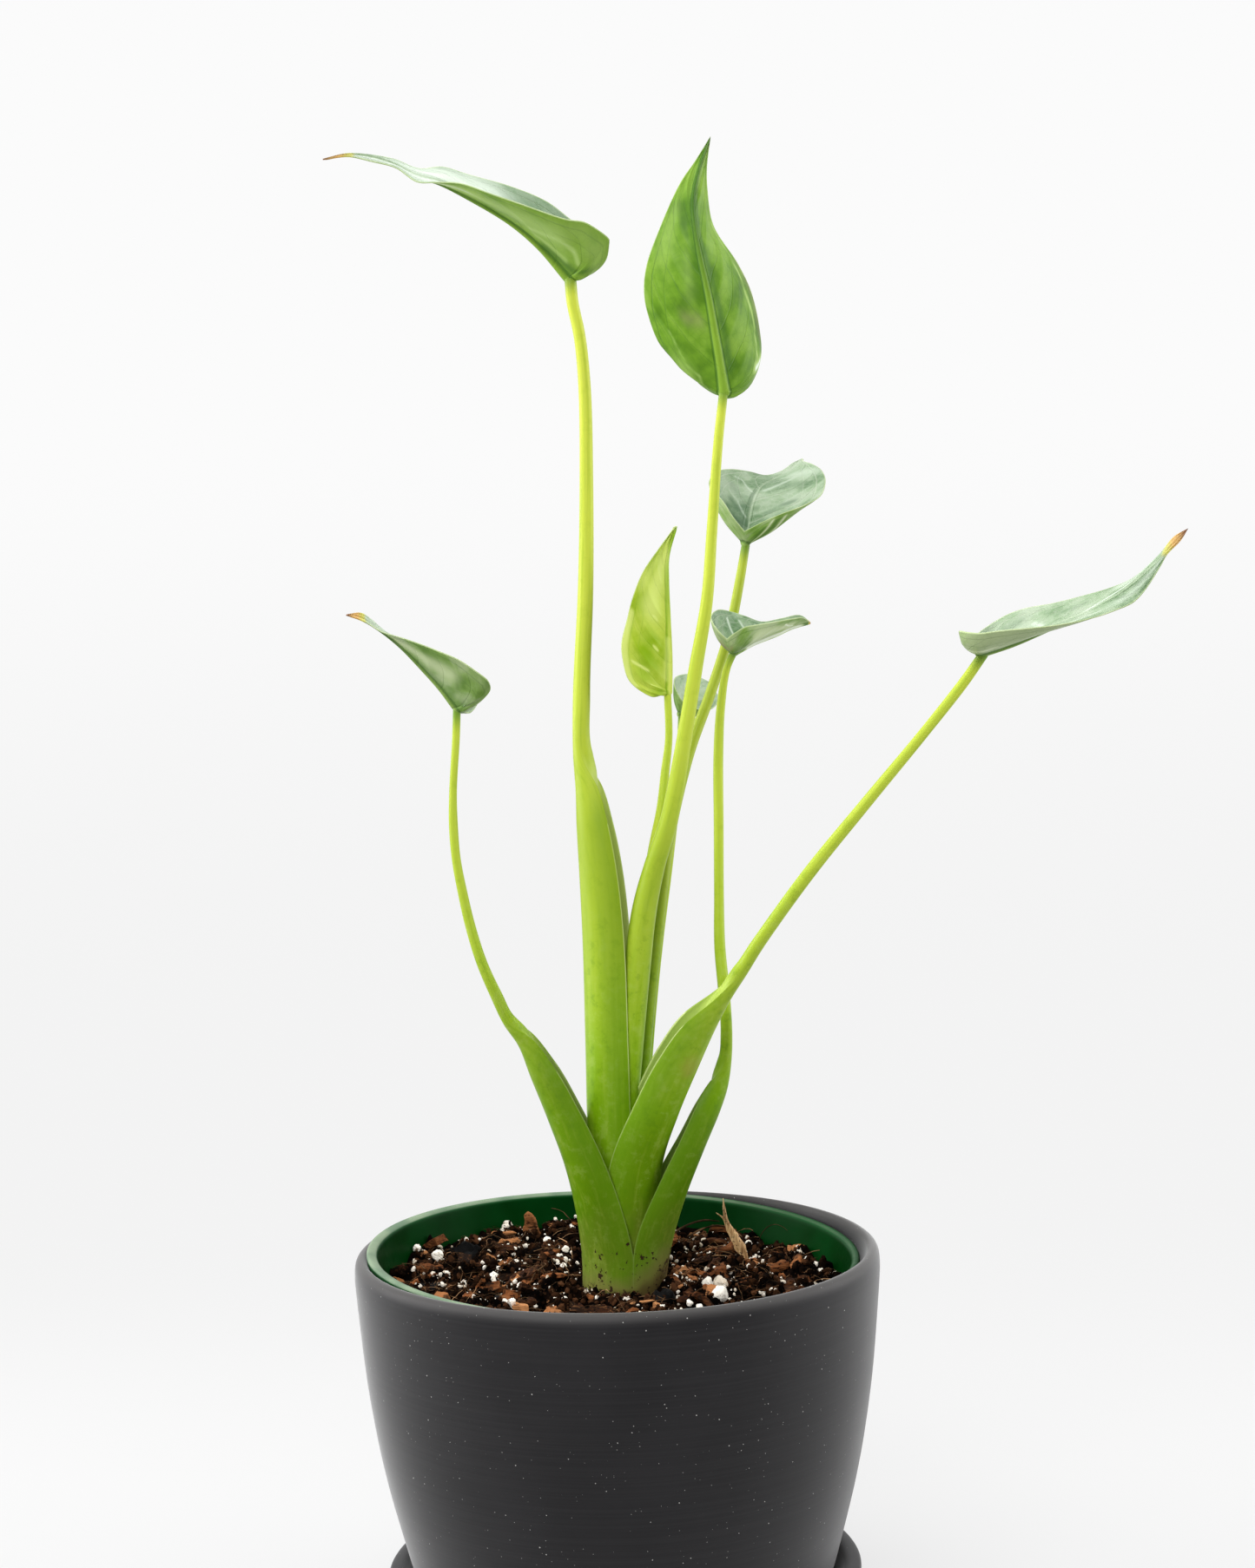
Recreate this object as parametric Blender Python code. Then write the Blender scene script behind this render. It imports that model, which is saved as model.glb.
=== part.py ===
"""A tiny dancer alocasia growing in a nursery pot, which stands in a round planter on its saucer.

Sizes are in millimetres, measured from the point under the pot's centre on the table, with X to the
right, Y away from the viewer and Z up. The objects themselves are made in metres.
"""
import math
import random

import bmesh
import bpy
import numpy as np

MM = 0.001
GAP = 0.3                       # clearance between two pieces that meet

# Saucer: a shallow turned tray.
SAUCER_RADIUS = 77.0
SAUCER_HEIGHT = 20.0
SAUCER_WALL = 5.4
SAUCER_FLOOR = 4.2
SAUCER_BASE_RADIUS = 69.0

# Planter: a tapering cover pot with a rounded lip.
PLANTER_FOOT = SAUCER_FLOOR + GAP
PLANTER_TOP = 122.9
PLANTER_WALL = 4.8
PLANTER_FLOOR = 5.0
PLANTER_OUTSIDE = ((60.0, 0.0), (62.0, 1.5), (65.3, 9.0), (71.4, 29.5), (75.9, 46.5), (79.8, 68.0),
                   (82.1, 85.0), (83.4, 99.0), (84.2, 107.0), (84.7, 113.4))
PLANTER_LIP = ((84.4, -2.2), (83.1, -0.6), (81.4, 0.0), (80.2, -0.7), (79.7, -2.5))

# Nursery pot: thin plastic with a rolled rim, leaning a little to the right and the front inside the planter.
NURSERY_TILT_DEG = 2.1
NURSERY_NOD_DEG = 1.2
NURSERY_SHIFT = -0.4
NURSERY_TOP = 122.0             # height of the rim's centre
NURSERY_HEIGHT = 110.1
NURSERY_RIM_RADIUS = 78.3
NURSERY_RIM_DEPTH = 7.0
NURSERY_NECK_RADIUS = 77.2
NURSERY_BASE_RADIUS = 52.5
NURSERY_WALL = 1.4

# Soil: fills the nursery pot to this far below its rim, with a plain hole for the stem base.
SOIL_BELOW_RIM = 10.4
SOIL_RELIEF = 1.1
SOIL_RINGS = 9
BARK_CHIPS = 18
PERLITE_GRAINS = 34
# Bark chips that stand out: place, turn about Z, lean, and length, width and thickness.
MARKED_CHIPS = ((-33.0, 30.0, 116.0, 35, 55, 13.0, 7.0, 3.0), (-60.0, -19.0, 113.3, -15, 10, 12.0, 6.0, 3.0),
                (57.0, 9.0, 112.4, 60, 35, 10.0, 6.0, 2.5))
SPLINTER = ((40.0, 24.0, 110.0, 1.6), (37.5, 26.0, 118.0, 1.3), (34.5, 28.0, 125.5, 0.7))

# Corm: the oval stem base under the sheaths, seen from above as wide as they are.
STEM_X, STEM_Y = 1.8, 0.5
STEM_ACROSS, STEM_DEEP = 13.4, 12.2
SHEATH_FOOT = 107.0
CORM_HEIGHT = 26.0

# Each petiole is given by the line of its back, from the blade down to its foot. A stalk row is
# (x, y, z, radius). A sheath row is (x, y, z, half width, half depth, wrap in degrees, wall), where wrap
# is how far each margin reaches round from the back. FACE is the bearing that the sheath opens to.
PETIOLES = {
    1: dict(face=-10, stalk=(
        (-8.5, -4, 433, 1.9), (-8, -4, 425.5, 1.9), (-6, -3, 414.5, 1.9), (-5, -2, 398, 2), (-5.5, 0, 368, 2.2),
        (-7, 2, 335, 2.5), (-9.5, 3, 301.5, 2.8), (-10, 4, 282.5, 3.2)), sheath=(
        (-9.5, 4, 270.5, 4.4, 6.2, 110, 3), (-9.5, 4, 259, 5.4, 7.5, 120, 3.2), (-9, 4, 242.5, 6.4, 8.5, 126, 3),
        (-8.5, 4, 219.5, 7.2, 8.9, 131, 2.8), (-8.5, 4, 188.5, 7.8, 8.9, 134, 2.4),
        (-8.5, 3, 157.5, 8.2, 8.8, 138, 2), (-7, 0.5, SHEATH_FOOT, 7.8, 8.6, 140, 1.8))),
    2: dict(face=95, stalk=(
        (40.5, -19.5, 394, 1.4), (38.5, -18.5, 378.5, 1.5), (36, -16.5, 351.5, 1.7), (34, -15, 330, 1.9),
        (30, -12.5, 308.5, 2.2), (26.5, -11, 289.5, 2.4), (23, -9.5, 271.5, 2.7)), sheath=(
        (20, -9, 259, 2.9, 2.9, 100, 2), (15.5, -7.5, 245.5, 3.4, 3.6, 118, 1.8), (12, -6, 231.5, 4, 4.2, 128, 1.7),
        (9.5, -4.5, 214.5, 4.3, 4.5, 132, 1.6), (6.5, -3.5, 189.5, 4.4, 4.6, 135, 1.5),
        (3.5, -3.5, 161.5, 4.4, 4.5, 138, 1.4), (0, -4.5, SHEATH_FOOT, 4.3, 4.3, 140, 1.3))),
    3: dict(face=90, stalk=(
        (49, 32.5, 350, 1.4), (46.5, 30.5, 337.5, 1.6), (42.5, 27.5, 320.5, 1.7), (35.5, 22, 300.5, 1.8),
        (27.5, 15, 280.5, 1.9), (20, 8, 252.5, 2), (16, 6, 227.5, 2.2), (12.5, 5, 202, 2.2), (9.5, 4, 174, 2.1),
        (6, 2, 140.5, 1.9), (4, 1.5, SHEATH_FOOT, 1.8)), sheath=()),
    4: dict(face=180, stalk=(
        (44, 6, 313.5, 1.2), (41.5, 6, 308, 1.2), (39.5, 5, 296, 1.4), (38.5, 4, 280.5, 1.6), (38, 3, 258, 1.6),
        (37.5, 2, 235.5, 1.6), (37.5, 1, 219, 1.8), (38.5, 0, 205, 1.9), (39, -0.5, 191, 1.9),
        (38.5, -1, 182, 2.3)), sheath=(
        (37, -2, 173.5, 3.4, 4.6, 110, 3), (34.5, -3, 166.5, 4.3, 5.6, 114, 3.2), (29, -3, 154, 5.6, 6.3, 114, 3.2),
        (23, -2, 139.5, 8, 8.2, 107, 3.2), (18, -0.5, 123.5, 11, 12, 92, 3),
        (15, 0.5, SHEATH_FOOT, 12.2, 13.4, 77, 2.4))),
    5: dict(face=175, stalk=(
        (117, -42, 309, 1.5), (111, -41, 300.5, 1.6), (98.5, -38.5, 285, 1.6), (81.5, -35, 264.5, 1.8),
        (64, -31, 243, 2), (48.5, -26, 221.5, 2.1), (43, -23, 212.5, 2.4)), sheath=(
        (38, -20, 204.5, 3.4, 3.9, 102, 3), (32.5, -16, 193.5, 5.4, 7.5, 115, 3.6), (27.5, -12, 182, 7, 9.1, 119, 3.6),
        (21, -7.5, 166.5, 8.6, 9.6, 124, 3.4), (15.5, -3.5, 150, 9.4, 10, 130, 3), (13.5, -1, 129.5, 9.8, 10.6, 136, 2.4),
        (12.5, 0.5, SHEATH_FOOT, 9.8, 10.9, 140, 2))),
    6: dict(face=5, stalk=(
        (-46, -28, 297, 1.2), (-46.5, -27.5, 289, 1.2), (-48, -26, 272.5, 1.2), (-48.5, -25, 262, 1.4),
        (-48, -24, 251, 1.4), (-46.5, -22.5, 240, 1.5), (-44.5, -21, 229, 1.6), (-41.5, -19.5, 217.5, 1.7),
        (-37.5, -17, 206.5, 1.9), (-34, -15, 198, 2.2)), sheath=(
        (-29.5, -13, 190.5, 3.5, 4.3, 108, 3), (-26, -10.5, 180, 5, 6.1, 117, 3.4), (-21, -7, 165.5, 6.6, 7.3, 120, 3.4),
        (-16, -4, 149.5, 9, 8.8, 117, 3.2), (-13, -1.7, 134.5, 11, 11, 109, 3), (-11.5, -0.5, 120, 12, 13.2, 102, 2.8),
        (-11.5, -0.6, SHEATH_FOOT, 12.1, 13.3, 100, 2.4))),
    7: dict(face=90, stalk=(
        (21, 3, 301, 1.2), (21, 2, 286.5, 1.2), (19.5, 0.5, 275.5, 1.4), (18, -0.5, 264.5, 1.5), (15, -1, 250.5, 1.7),
        (11.5, -0.5, 231, 1.9), (8.5, 0, 211.5, 2), (6, 0.5, 189, 2), (3, 0, 155, 2), (0, -1, SHEATH_FOOT, 1.9)),
        sheath=()),
    8: dict(face=90, stalk=(
        (26, 33, 293.5, 1.1), (25, 28, 280.5, 1.1), (23, 22, 263, 1.2), (20, 16, 243.5, 1.4), (16.5, 12.5, 221, 1.4),
        (13.5, 11, 198.5, 1.5), (10.5, 8.5, 170.5, 1.5), (7.5, 6.5, 139.5, 1.4), (6.5, 6, SHEATH_FOOT, 1.4)),
        sheath=()),
}
YOUNGEST_FIRST = (7, 2, 3, 8, 1, 5, 6, 4)     # the sheath of each later one wraps round those before it

# Each blade is given from the top of its petiole by its midrib, and by its two margins, which run from
# the notch behind the petiole round the lobe to the tip. Left and right are as seen from its upper side
# with the tip ahead. CUP is how far each half sags below a flat sheet, at the rear, middle and tip.
BLADES = {
    1: dict(at=(-7, -4, 434), midrib=(
        (0, 0, 0), (-8, -4, 9), (-17, -9, 16), (-30, -14, 23), (-39, -17, 27), (-46, -18, 29), (-52.5, -19, 32),
        (-59, -20, 34), (-67, -20, 35), (-74.5, -20, 34)), left=(
        (2, 1, 0.5), (8.5, -5, 0.5), (12, -10, 3), (13, -15, 7), (9.5, -19, 9.5), (0, -23, 13), (-13.5, -25, 17.5),
        (-23, -25, 21), (-32, -24, 24.5), (-39, -22, 25.5), (-45.5, -21, 26), (-52, -21, 30.5), (-59, -21, 32.5),
        (-67, -20.5, 34.5), (-74.5, -20, 34)), right=(
        (2, 1, 0.5), (5.5, 5, 4.5), (8, 9, 9.5), (7, 12, 15), (0, 12, 21), (-6.5, 9, 25.5), (-17.5, 2, 29),
        (-30.5, -5, 31.5), (-38.5, -10, 33), (-45.5, -15, 31.5), (-52.5, -17, 34), (-59, -19, 35), (-67, -20, 35.5),
        (-74.5, -20, 34)), cup_left=(0.2, 0.08, 0.04, 0), cup_right=(0.2, 0.1, 0.04, 0)),
    2: dict(at=(40.5, -18, 394.5), midrib=(
        (0, 0, 0), (-2, -4, 13), (-4.5, -7, 28.5), (-7.5, -7, 44.5), (-8.5, -4, 57), (-6.5, 0, 67.5), (-2, 6, 80)), left=(
        (0.5, 4, -1.5), (4, 7, -0.5), (7.5, 10, 2.5), (10, 12, 6), (12.5, 12, 12.5), (12, 10, 21.5), (9.5, 7, 32),
        (5.5, 4, 40), (-2, 1, 51.5), (-3.5, 2, 62.5), (-3.5, 3, 69.5), (-2, 6, 80)), right=(
        (0.5, 4, -1.5), (-2, 6, 0.5), (-7.5, 6, 4.5), (-13.5, 4, 10.5), (-19, 3, 15), (-23, 2, 25), (-24, 1, 32),
        (-23, 0, 39.5), (-18.5, -1, 51), (-12, 0, 64.5), (-7, 3, 72), (-2, 6, 80)),
        cup_left=(0.25, 0.12, 0.06, 0), cup_right=(0.2, 0.08, 0.05, 0)),
    3: dict(at=(49, 34, 351), midrib=(
        (0, 0, 0), (1, 4, 6), (3, 10, 14), (6.5, 18, 20), (12, 26, 23.5), (17.5, 32, 27), (23, 38, 31.5)), left=(
        (-0.5, -4, 3.5), (-4, -4, 8), (-7.5, -2, 14), (-11, 4, 18.5), (-11, 12, 22.5), (-8, 19, 26), (-3, 24, 27),
        (3.5, 29, 26.5), (9.5, 33, 25.5), (15, 35, 27), (19.5, 37, 30), (23, 38, 31.5)), right=(
        (-0.5, -4, 3.5), (6, -6, 6.5), (12.5, -7, 9), (19.5, -4, 11.5), (25.5, 1, 15), (28, 8, 20.5), (27.5, 16, 25),
        (25, 24, 28), (22.5, 32, 30), (23, 38, 31.5)), cup_left=(0.2, 0.18, 0.1, 0), cup_right=(0.35, 0.22, 0.1, 0)),
    4: dict(at=(43, 6, 314), midrib=(
        (0, 0, 0), (6.5, 6, 3), (14, 13, 5.5), (20.5, 20, 8), (27, 26, 9.5)), left=(
        (-2.5, -4, 4), (-4.5, -3, 6), (-6.5, 1, 9), (-7, 6, 12), (-4.5, 11, 14), (-0.5, 15, 13.5), (4.5, 18, 12),
        (10.5, 21, 10), (17, 23, 11), (23.5, 25, 12), (27, 26, 9.5)), right=(
        (-2.5, -4, 4), (-0.5, -6, 5.5), (3, -6, 7.5), (8.5, -3, 8.5), (14.5, 4, 9.5), (20, 12, 10.5), (24, 20, 11),
        (27, 26, 9.5)), cup_left=(0.25, 0.1, 0.05, 0), cup_right=(0.35, 0.15, 0.05, 0)),
    5: dict(at=(115.5, -42, 311), midrib=(
        (0, 0, 0), (8.5, -3, 2.5), (18.5, -6, 6.5), (29, -8, 10.5), (41, -9, 17), (51.5, -8, 25.5), (61.5, -6, 35)), left=(
        (-2, 3, 3), (0, 8, 5.5), (3, 11, 7.5), (6.5, 12, 9.5), (10.5, 11, 11.5), (15.5, 9, 13), (22.5, 6, 14),
        (31.5, 3, 16), (39, 0, 18), (45, -3, 20.5), (50.5, -5, 24.5), (56, -6, 30), (61.5, -6, 35)), right=(
        (-2, 3, 3), (-5, -2, 3), (-8, -8, 6), (-6.5, -13, 5.5), (-3, -16, 5), (2.5, -18, 5.5), (11, -20, 6),
        (17.5, -20, 6.5), (24.5, -20, 7.5), (31.5, -18, 9), (38, -15, 11), (43, -13, 13), (47, -11, 16.5),
        (52.5, -9, 24.5), (57, -7, 30.5), (61.5, -6, 35)), cup_left=(0.25, 0.08, 0.03, 0), cup_right=(0.3, 0.1, 0.03, 0)),
    6: dict(at=(-44.5, -28, 298), midrib=(
        (0, 0, 0), (-4.5, -3, 6.5), (-10, -6, 13), (-16, -9, 19.5), (-22, -12, 24.5), (-27, -14, 27.5),
        (-31.5, -16, 29)), left=(
        (2, 1, -1), (5.5, -5, 0.5), (9, -9, 3), (11, -12, 5.5), (10.5, -15, 8), (7, -17, 11), (2, -18, 14.5),
        (-3.5, -18, 17), (-9.5, -17, 19.5), (-15, -16, 21.5), (-21, -16, 23.5), (-26.5, -16, 27), (-31.5, -16, 29)),
        right=(
        (2, 1, -1), (3.5, 6, -1.5), (5.5, 9, 1), (5.5, 10, 4.5), (3, 9, 8.5), (-2.5, 6, 14), (-9, 1, 18),
        (-15, -4, 21.5), (-18.5, -7, 22.5), (-21.5, -10, 24.5), (-24.5, -12, 27.5), (-27.5, -14, 29.5),
        (-31.5, -16, 29)), cup_left=(0.2, 0.1, 0.04, 0), cup_right=(0.2, 0.1, 0.04, 0)),
    7: dict(at=(21, 4, 301.5), midrib=(
        (0, 0, 0), (0.5, -1, 10), (0.5, -2, 24), (0.5, -3, 35.5), (1, -3, 43.5), (4, -3, 53)), left=(
        (-1.5, 0, -0.5), (-4.5, 3, -1), (-8.5, 5, 1.5), (-11.5, 6, 5), (-13.5, 6, 9.5), (-13.5, 6, 16), (-12, 4, 24),
        (-9.5, 3, 31), (-6, 1, 38.5), (-1.5, -1, 45.5), (1.5, -2, 50), (4, -3, 53)), right=(
        (-1.5, 0, -0.5), (-5, -5, -1.5), (-9, -7, 0.5), (-12.5, -8, 4), (-14, -8, 9), (-14.5, -8, 15.5),
        (-12.5, -7, 23.5), (-10.5, -7, 30.5), (-7, -6, 38.5), (-2, -5, 45.5), (1.5, -4, 50), (4, -3, 53)),
        cup_left=(0.1, 0.12, 0.08, 0), cup_right=(0.1, 0.12, 0.08, 0)),
    8: dict(at=(26, 34, 294), midrib=(
        (0, 0, 0), (2.5, 6, 4), (5, 12, 7.5), (7.5, 18, 9.5), (11, 24, 10.5)), left=(
        (1.5, -3, 3), (-0.5, -2, 6), (-2, 2, 10), (-1.5, 8, 12.5), (1, 14, 13.5), (4.5, 19, 13.5), (8, 22, 12),
        (11, 24, 10.5)), right=(
        (1.5, -3, 3), (4.5, -5, 2), (7.5, -3, 1), (11, 2, 2), (13, 8, 5), (12.5, 14, 7), (11.5, 20, 9),
        (11, 24, 10.5)), cup_left=(0.15, 0.12, 0.08, 0), cup_right=(0.2, 0.15, 0.08, 0)),
}
BLADE_RIBS = 15
BLADE_STEPS = (0, 0.13, 0.34, 0.66, 1)        # points across a half, from the midrib to the margin
BLADE_FAN = 0.24                              # share of the margin whose ribs start at the petiole
BLADE_THICKNESS = 0.7
MIDRIB_THICKNESS = 1.6
NORMAL_EVENING = 5                            # rounds of averaging that keep the two faces from crossing
MARGIN_THICKNESS = 0.6                        # of a sheath's edge
SHEATH_SIDES = 16
STALK_SIDES = 10


def clear_scene():
    for item in list(bpy.data.objects):
        bpy.data.objects.remove(item)


def material(name, colour, roughness):
    made = bpy.data.materials.new(name)
    made.use_nodes = True
    shader = made.node_tree.nodes["Principled BSDF"]
    shader.inputs["Base Color"].default_value = (*colour, 1)
    shader.inputs["Roughness"].default_value = roughness
    shader.inputs["Metallic"].default_value = 0
    return made


def add_object(name, bm, finish, parent=None, sharp=35):
    """An object from a closed bmesh in millimetres, faces turned outwards."""
    bmesh.ops.scale(bm, vec=(MM, MM, MM), verts=bm.verts)
    bmesh.ops.recalc_face_normals(bm, faces=bm.faces)
    mesh = bpy.data.meshes.new(name)
    bm.to_mesh(mesh)
    bm.free()
    mesh.shade_smooth()
    mesh.set_sharp_from_angle(angle=math.radians(sharp))
    made = bpy.data.objects.new(name, mesh)
    bpy.context.collection.objects.link(made)
    if finish:
        mesh.materials.append(finish)
    made.parent = parent
    return made


def bmesh_from(points, faces):
    bm = bmesh.new()
    verts = [bm.verts.new(point) for point in points]
    for face in faces:
        bm.faces.new([verts[i] for i in face])
    return bm


def turned(profile, segments):
    """A closed (radius, height) outline turned about Z. Points on the axis close into poles."""
    bm = bmesh.new()
    verts = [bm.verts.new((radius, 0, height)) for radius, height in profile]
    on_axis = profile[0][0] == 0
    edges = [bm.edges.new(pair) for pair in zip(verts, verts[1:] + ([] if on_axis else verts[:1]))]
    bmesh.ops.spin(bm, geom=verts + edges, cent=(0, 0, 0), axis=(0, 0, 1), angle=math.tau,
                   steps=segments, use_merge=True)
    bmesh.ops.remove_doubles(bm, verts=bm.verts, dist=0.001)
    return bm


def carve(piece, cutters, solver="EXACT"):
    """Cut the cutters out of the piece, keep its largest body and drop the cutters."""
    for cutter in cutters:
        cutter.hide_render = True
        cutter.display_type = "WIRE"
        step = piece.modifiers.new(cutter.name, "BOOLEAN")
        step.operation = "DIFFERENCE"
        step.solver = solver
        step.object = cutter
    bpy.context.view_layer.update()
    evaluated = piece.evaluated_get(bpy.context.evaluated_depsgraph_get())
    bm = bmesh.new()
    bm.from_mesh(evaluated.to_mesh())
    evaluated.to_mesh_clear()
    loose = set(bm.verts)
    bodies = []
    while loose:
        found = {loose.pop()}
        edge_of_search = list(found)
        while edge_of_search:
            vert = edge_of_search.pop()
            near = {edge.other_vert(vert) for edge in vert.link_edges} & loose
            loose -= near
            found |= near
            edge_of_search.extend(near)
        bodies.append(found)
    bodies.sort(key=len)
    scraps = [vert for body in bodies[:-1] for vert in body]
    bmesh.ops.delete(bm, geom=scraps, context="VERTS")
    bmesh.ops.triangulate(bm, faces=bm.faces)
    piece.modifiers.clear()
    bm.to_mesh(piece.data)
    bm.free()
    for cutter in cutters:
        bpy.data.objects.remove(cutter)


def spline(rows, steps):
    """Smooth rows through the given ones, with so many steps in each span (one number, or one a span)."""
    rows = np.asarray(rows, float)
    padded = np.vstack([2 * rows[0] - rows[1], rows, 2 * rows[-1] - rows[-2]])
    spans = np.linalg.norm(np.diff(padded[:, :3], axis=0), axis=1) ** 0.5
    knots = np.concatenate([[0], np.cumsum(spans)])
    steps = [steps] * (len(rows) - 1) if isinstance(steps, int) else steps
    out = []
    for i, count in enumerate(steps, start=1):
        k0, k1, k2, k3 = knots[i - 1:i + 3]
        p0, p1, p2, p3 = padded[i - 1:i + 3]
        for t in np.linspace(k1, k2, count, endpoint=False):
            a1 = ((k1 - t) * p0 + (t - k0) * p1) / (k1 - k0)
            a2 = ((k2 - t) * p1 + (t - k1) * p2) / (k2 - k1)
            a3 = ((k3 - t) * p2 + (t - k2) * p3) / (k3 - k2)
            b1 = ((k2 - t) * a1 + (t - k0) * a2) / (k2 - k0)
            b2 = ((k3 - t) * a2 + (t - k1) * a3) / (k3 - k1)
            out.append(((k2 - t) * b1 + (t - k1) * b2) / (k2 - k1))
    out.append(rows[-1])
    return np.array(out)


def along(rows, shares):
    """Points at the given shares of the length of a smooth curve through the rows."""
    dense = spline(rows, 16)
    length = np.concatenate([[0], np.cumsum(np.linalg.norm(np.diff(dense, axis=0), axis=1))])
    return np.stack([np.interp(shares * length[-1], length, dense[:, k]) for k in range(3)], axis=1)


def unit(vectors):
    return vectors / np.maximum(np.linalg.norm(vectors, axis=-1, keepdims=True), 1e-9)


def petiole(spec, sides, grow=0.0, filled=False):
    """A petiole: round in its stalk, opening into a channel in its sheath, or filled as a cutter."""
    rows = [(x, y, z, r, r, 90, 0, 1) for x, y, z, r in spec["stalk"]]
    for i, (x, y, z, across, deep, wrap, wall) in enumerate(spec["sheath"]):
        rows.append((x, y, z, across, deep, wrap, 0.6 if i == 0 else 1, wall))
    stalk_spans = len(spec["stalk"]) - 1
    path = spline(rows, [1] * stalk_spans + [2] * len(spec["sheath"]))
    ahead = unit(np.gradient(path[:, :3], axis=0))
    ahead[-1] = (0, 0, -1)
    path[-1, 2] -= 6 * grow                   # a cutter runs on past the foot
    bearing = math.radians(spec["face"])
    facing = np.array([math.cos(bearing), math.sin(bearing), 0]) + 0 * ahead
    facing = unit(facing - (facing * ahead).sum(1, keepdims=True) * ahead)
    aside = np.cross(ahead, facing)
    half = sides // 2
    points = []
    for back, front_way, side_way in zip(path, facing, aside):
        across, deep, wrap, opened, wall = back[3:]
        across, deep, wall = across + grow, deep + grow, wall + 2 * grow
        wrap = math.radians(wrap) + (grow / deep if opened > 0.5 else 0)
        if filled:
            wrap, opened = math.pi / 2, 0
        opened = min(max(opened, 0), 1)
        margin = MARGIN_THICKNESS + 2 * grow
        angle = np.linspace(-wrap, wrap, half + 1)[:, None]
        outer = side_way * across * np.sin(angle) - front_way * deep * np.cos(angle)
        inside = angle[-2:0:-1]
        turn = inside * (math.pi / 2) / wrap
        edge_front, edge_side = -deep * math.cos(wrap), across * math.sin(wrap)
        rounded = side_way * edge_side * np.sin(turn) + front_way * (
            edge_front + (deep - edge_front) * np.cos(turn))
        thick = margin + (wall - margin) * np.abs(np.cos(turn)) ** 1.2
        channel = side_way * (across - thick) * np.sin(inside) - front_way * (deep - thick) * np.cos(inside)
        ring = np.vstack([outer, rounded * (1 - opened) + channel * opened])
        points.append(ring + back[:3] + front_way * (deep - grow))
    faces = []
    for ring in range(len(points) - 1):
        for k in range(sides):
            low, high = ring * sides, (ring + 1) * sides
            faces.append((low + k, low + (k + 1) % sides, high + (k + 1) % sides, high + k))
    for first in (0, (len(points) - 1) * sides):
        faces.append((first, first + 1, first + sides - 1))
        faces += [(first + k, first + k + 1, first + sides - k - 1, first + sides - k) for k in range(1, half - 1)]
        faces.append((first + half - 1, first + half, first + half + 1))
    return bmesh_from(np.vstack(points), faces)


def blade_sheet(spec):
    """The blade's middle surface as merged points, triangles and how near each point is to the midrib."""
    share = np.linspace(0, 1, BLADE_RIBS)
    root_share = np.clip((share - BLADE_FAN) / (1 - BLADE_FAN), 0, 1) ** 1.1
    roots = along(spec["midrib"], root_share)
    steps = np.array(BLADE_STEPS)
    halves = []
    for side, sign in (("left", 1), ("right", -1)):
        edge = along(spec[side], share)
        reach = edge - roots
        width = np.linalg.norm(reach, axis=1)
        up = sign * np.cross(np.gradient(edge, axis=0), reach)
        up[-1] = up[-2]
        up = unit(up)
        up[1:-1] = unit(up[:-2] + 2 * up[1:-1] + up[2:])
        cups = spec["cup_" + side]
        sag = np.interp(share, np.linspace(0, 1, len(cups)), cups) * width
        sag = sag[:, None] * 4 * steps * (1 - steps)
        halves.append(roots[:, None] + reach[:, None] * steps[:, None] - up[:, None] * sag[..., None])
    halves[0][0] = halves[1][0] = (halves[0][0] + halves[1][0]) / 2
    grid = np.array(halves)
    near = np.broadcast_to(1 - np.minimum(steps / steps[2], 1), grid.shape[:3])
    keel = (near * (1 - 0.75 * root_share[:, None])).reshape(-1)
    points, index = np.unique(np.round(grid.reshape(-1, 3), 3), axis=0, return_inverse=True)
    index = index.reshape(grid.shape[:3])
    weight = np.zeros(len(points))
    np.maximum.at(weight, index.reshape(-1), keel)
    faces = []
    for side in (0, 1):
        for i in range(BLADE_RIBS - 1):
            for j in range(len(steps) - 1):
                a, b = index[side, i, j], index[side, i + 1, j]
                c, d = index[side, i + 1, j + 1], index[side, i, j + 1]
                for face in ((a, b, c), (a, c, d)):
                    if len(set(face)) == 3:
                        faces.append(face[::-1] if side else face)
    return points + np.array(spec["at"]), np.array(faces), weight


def blade(spec, grow=0.0):
    """The blade as a closed solid, its two faces split into triangles alike. GROW makes it a cutter."""
    points, faces, keel = blade_sheet(spec)
    normals = np.zeros_like(points)
    turn = np.cross(points[faces[:, 1]] - points[faces[:, 0]], points[faces[:, 2]] - points[faces[:, 0]])
    for corner in range(3):
        np.add.at(normals, faces[:, corner], turn)
    normals = unit(normals)
    evened = normals
    for _ in range(NORMAL_EVENING):
        total = evened.copy()
        for corner in range(3):
            np.add.at(total, faces[:, corner], evened[faces[:, corner - 1]] + evened[faces[:, corner - 2]])
        evened = unit(total)
    evened = evened / np.maximum((evened * normals).sum(1, keepdims=True), 0.6)
    below = BLADE_THICKNESS / 2 + (MIDRIB_THICKNESS - BLADE_THICKNESS) * keel + grow
    upper = points + evened * (BLADE_THICKNESS / 2 + grow)
    lower = points - evened * below[:, None]
    count = len(points)
    sides = {}
    for face in faces:
        for a, b in ((face[0], face[1]), (face[1], face[2]), (face[2], face[0])):
            if (b, a) in sides:
                del sides[(b, a)]
            else:
                sides[(a, b)] = True
    shell = [tuple(face) for face in faces] + [tuple(face[::-1] + count) for face in faces]
    shell += [(b, a, a + count) for a, b in sides] + [(b, a + count, b + count) for a, b in sides]
    return bmesh_from(np.vstack([upper, lower]), shell)


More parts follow.
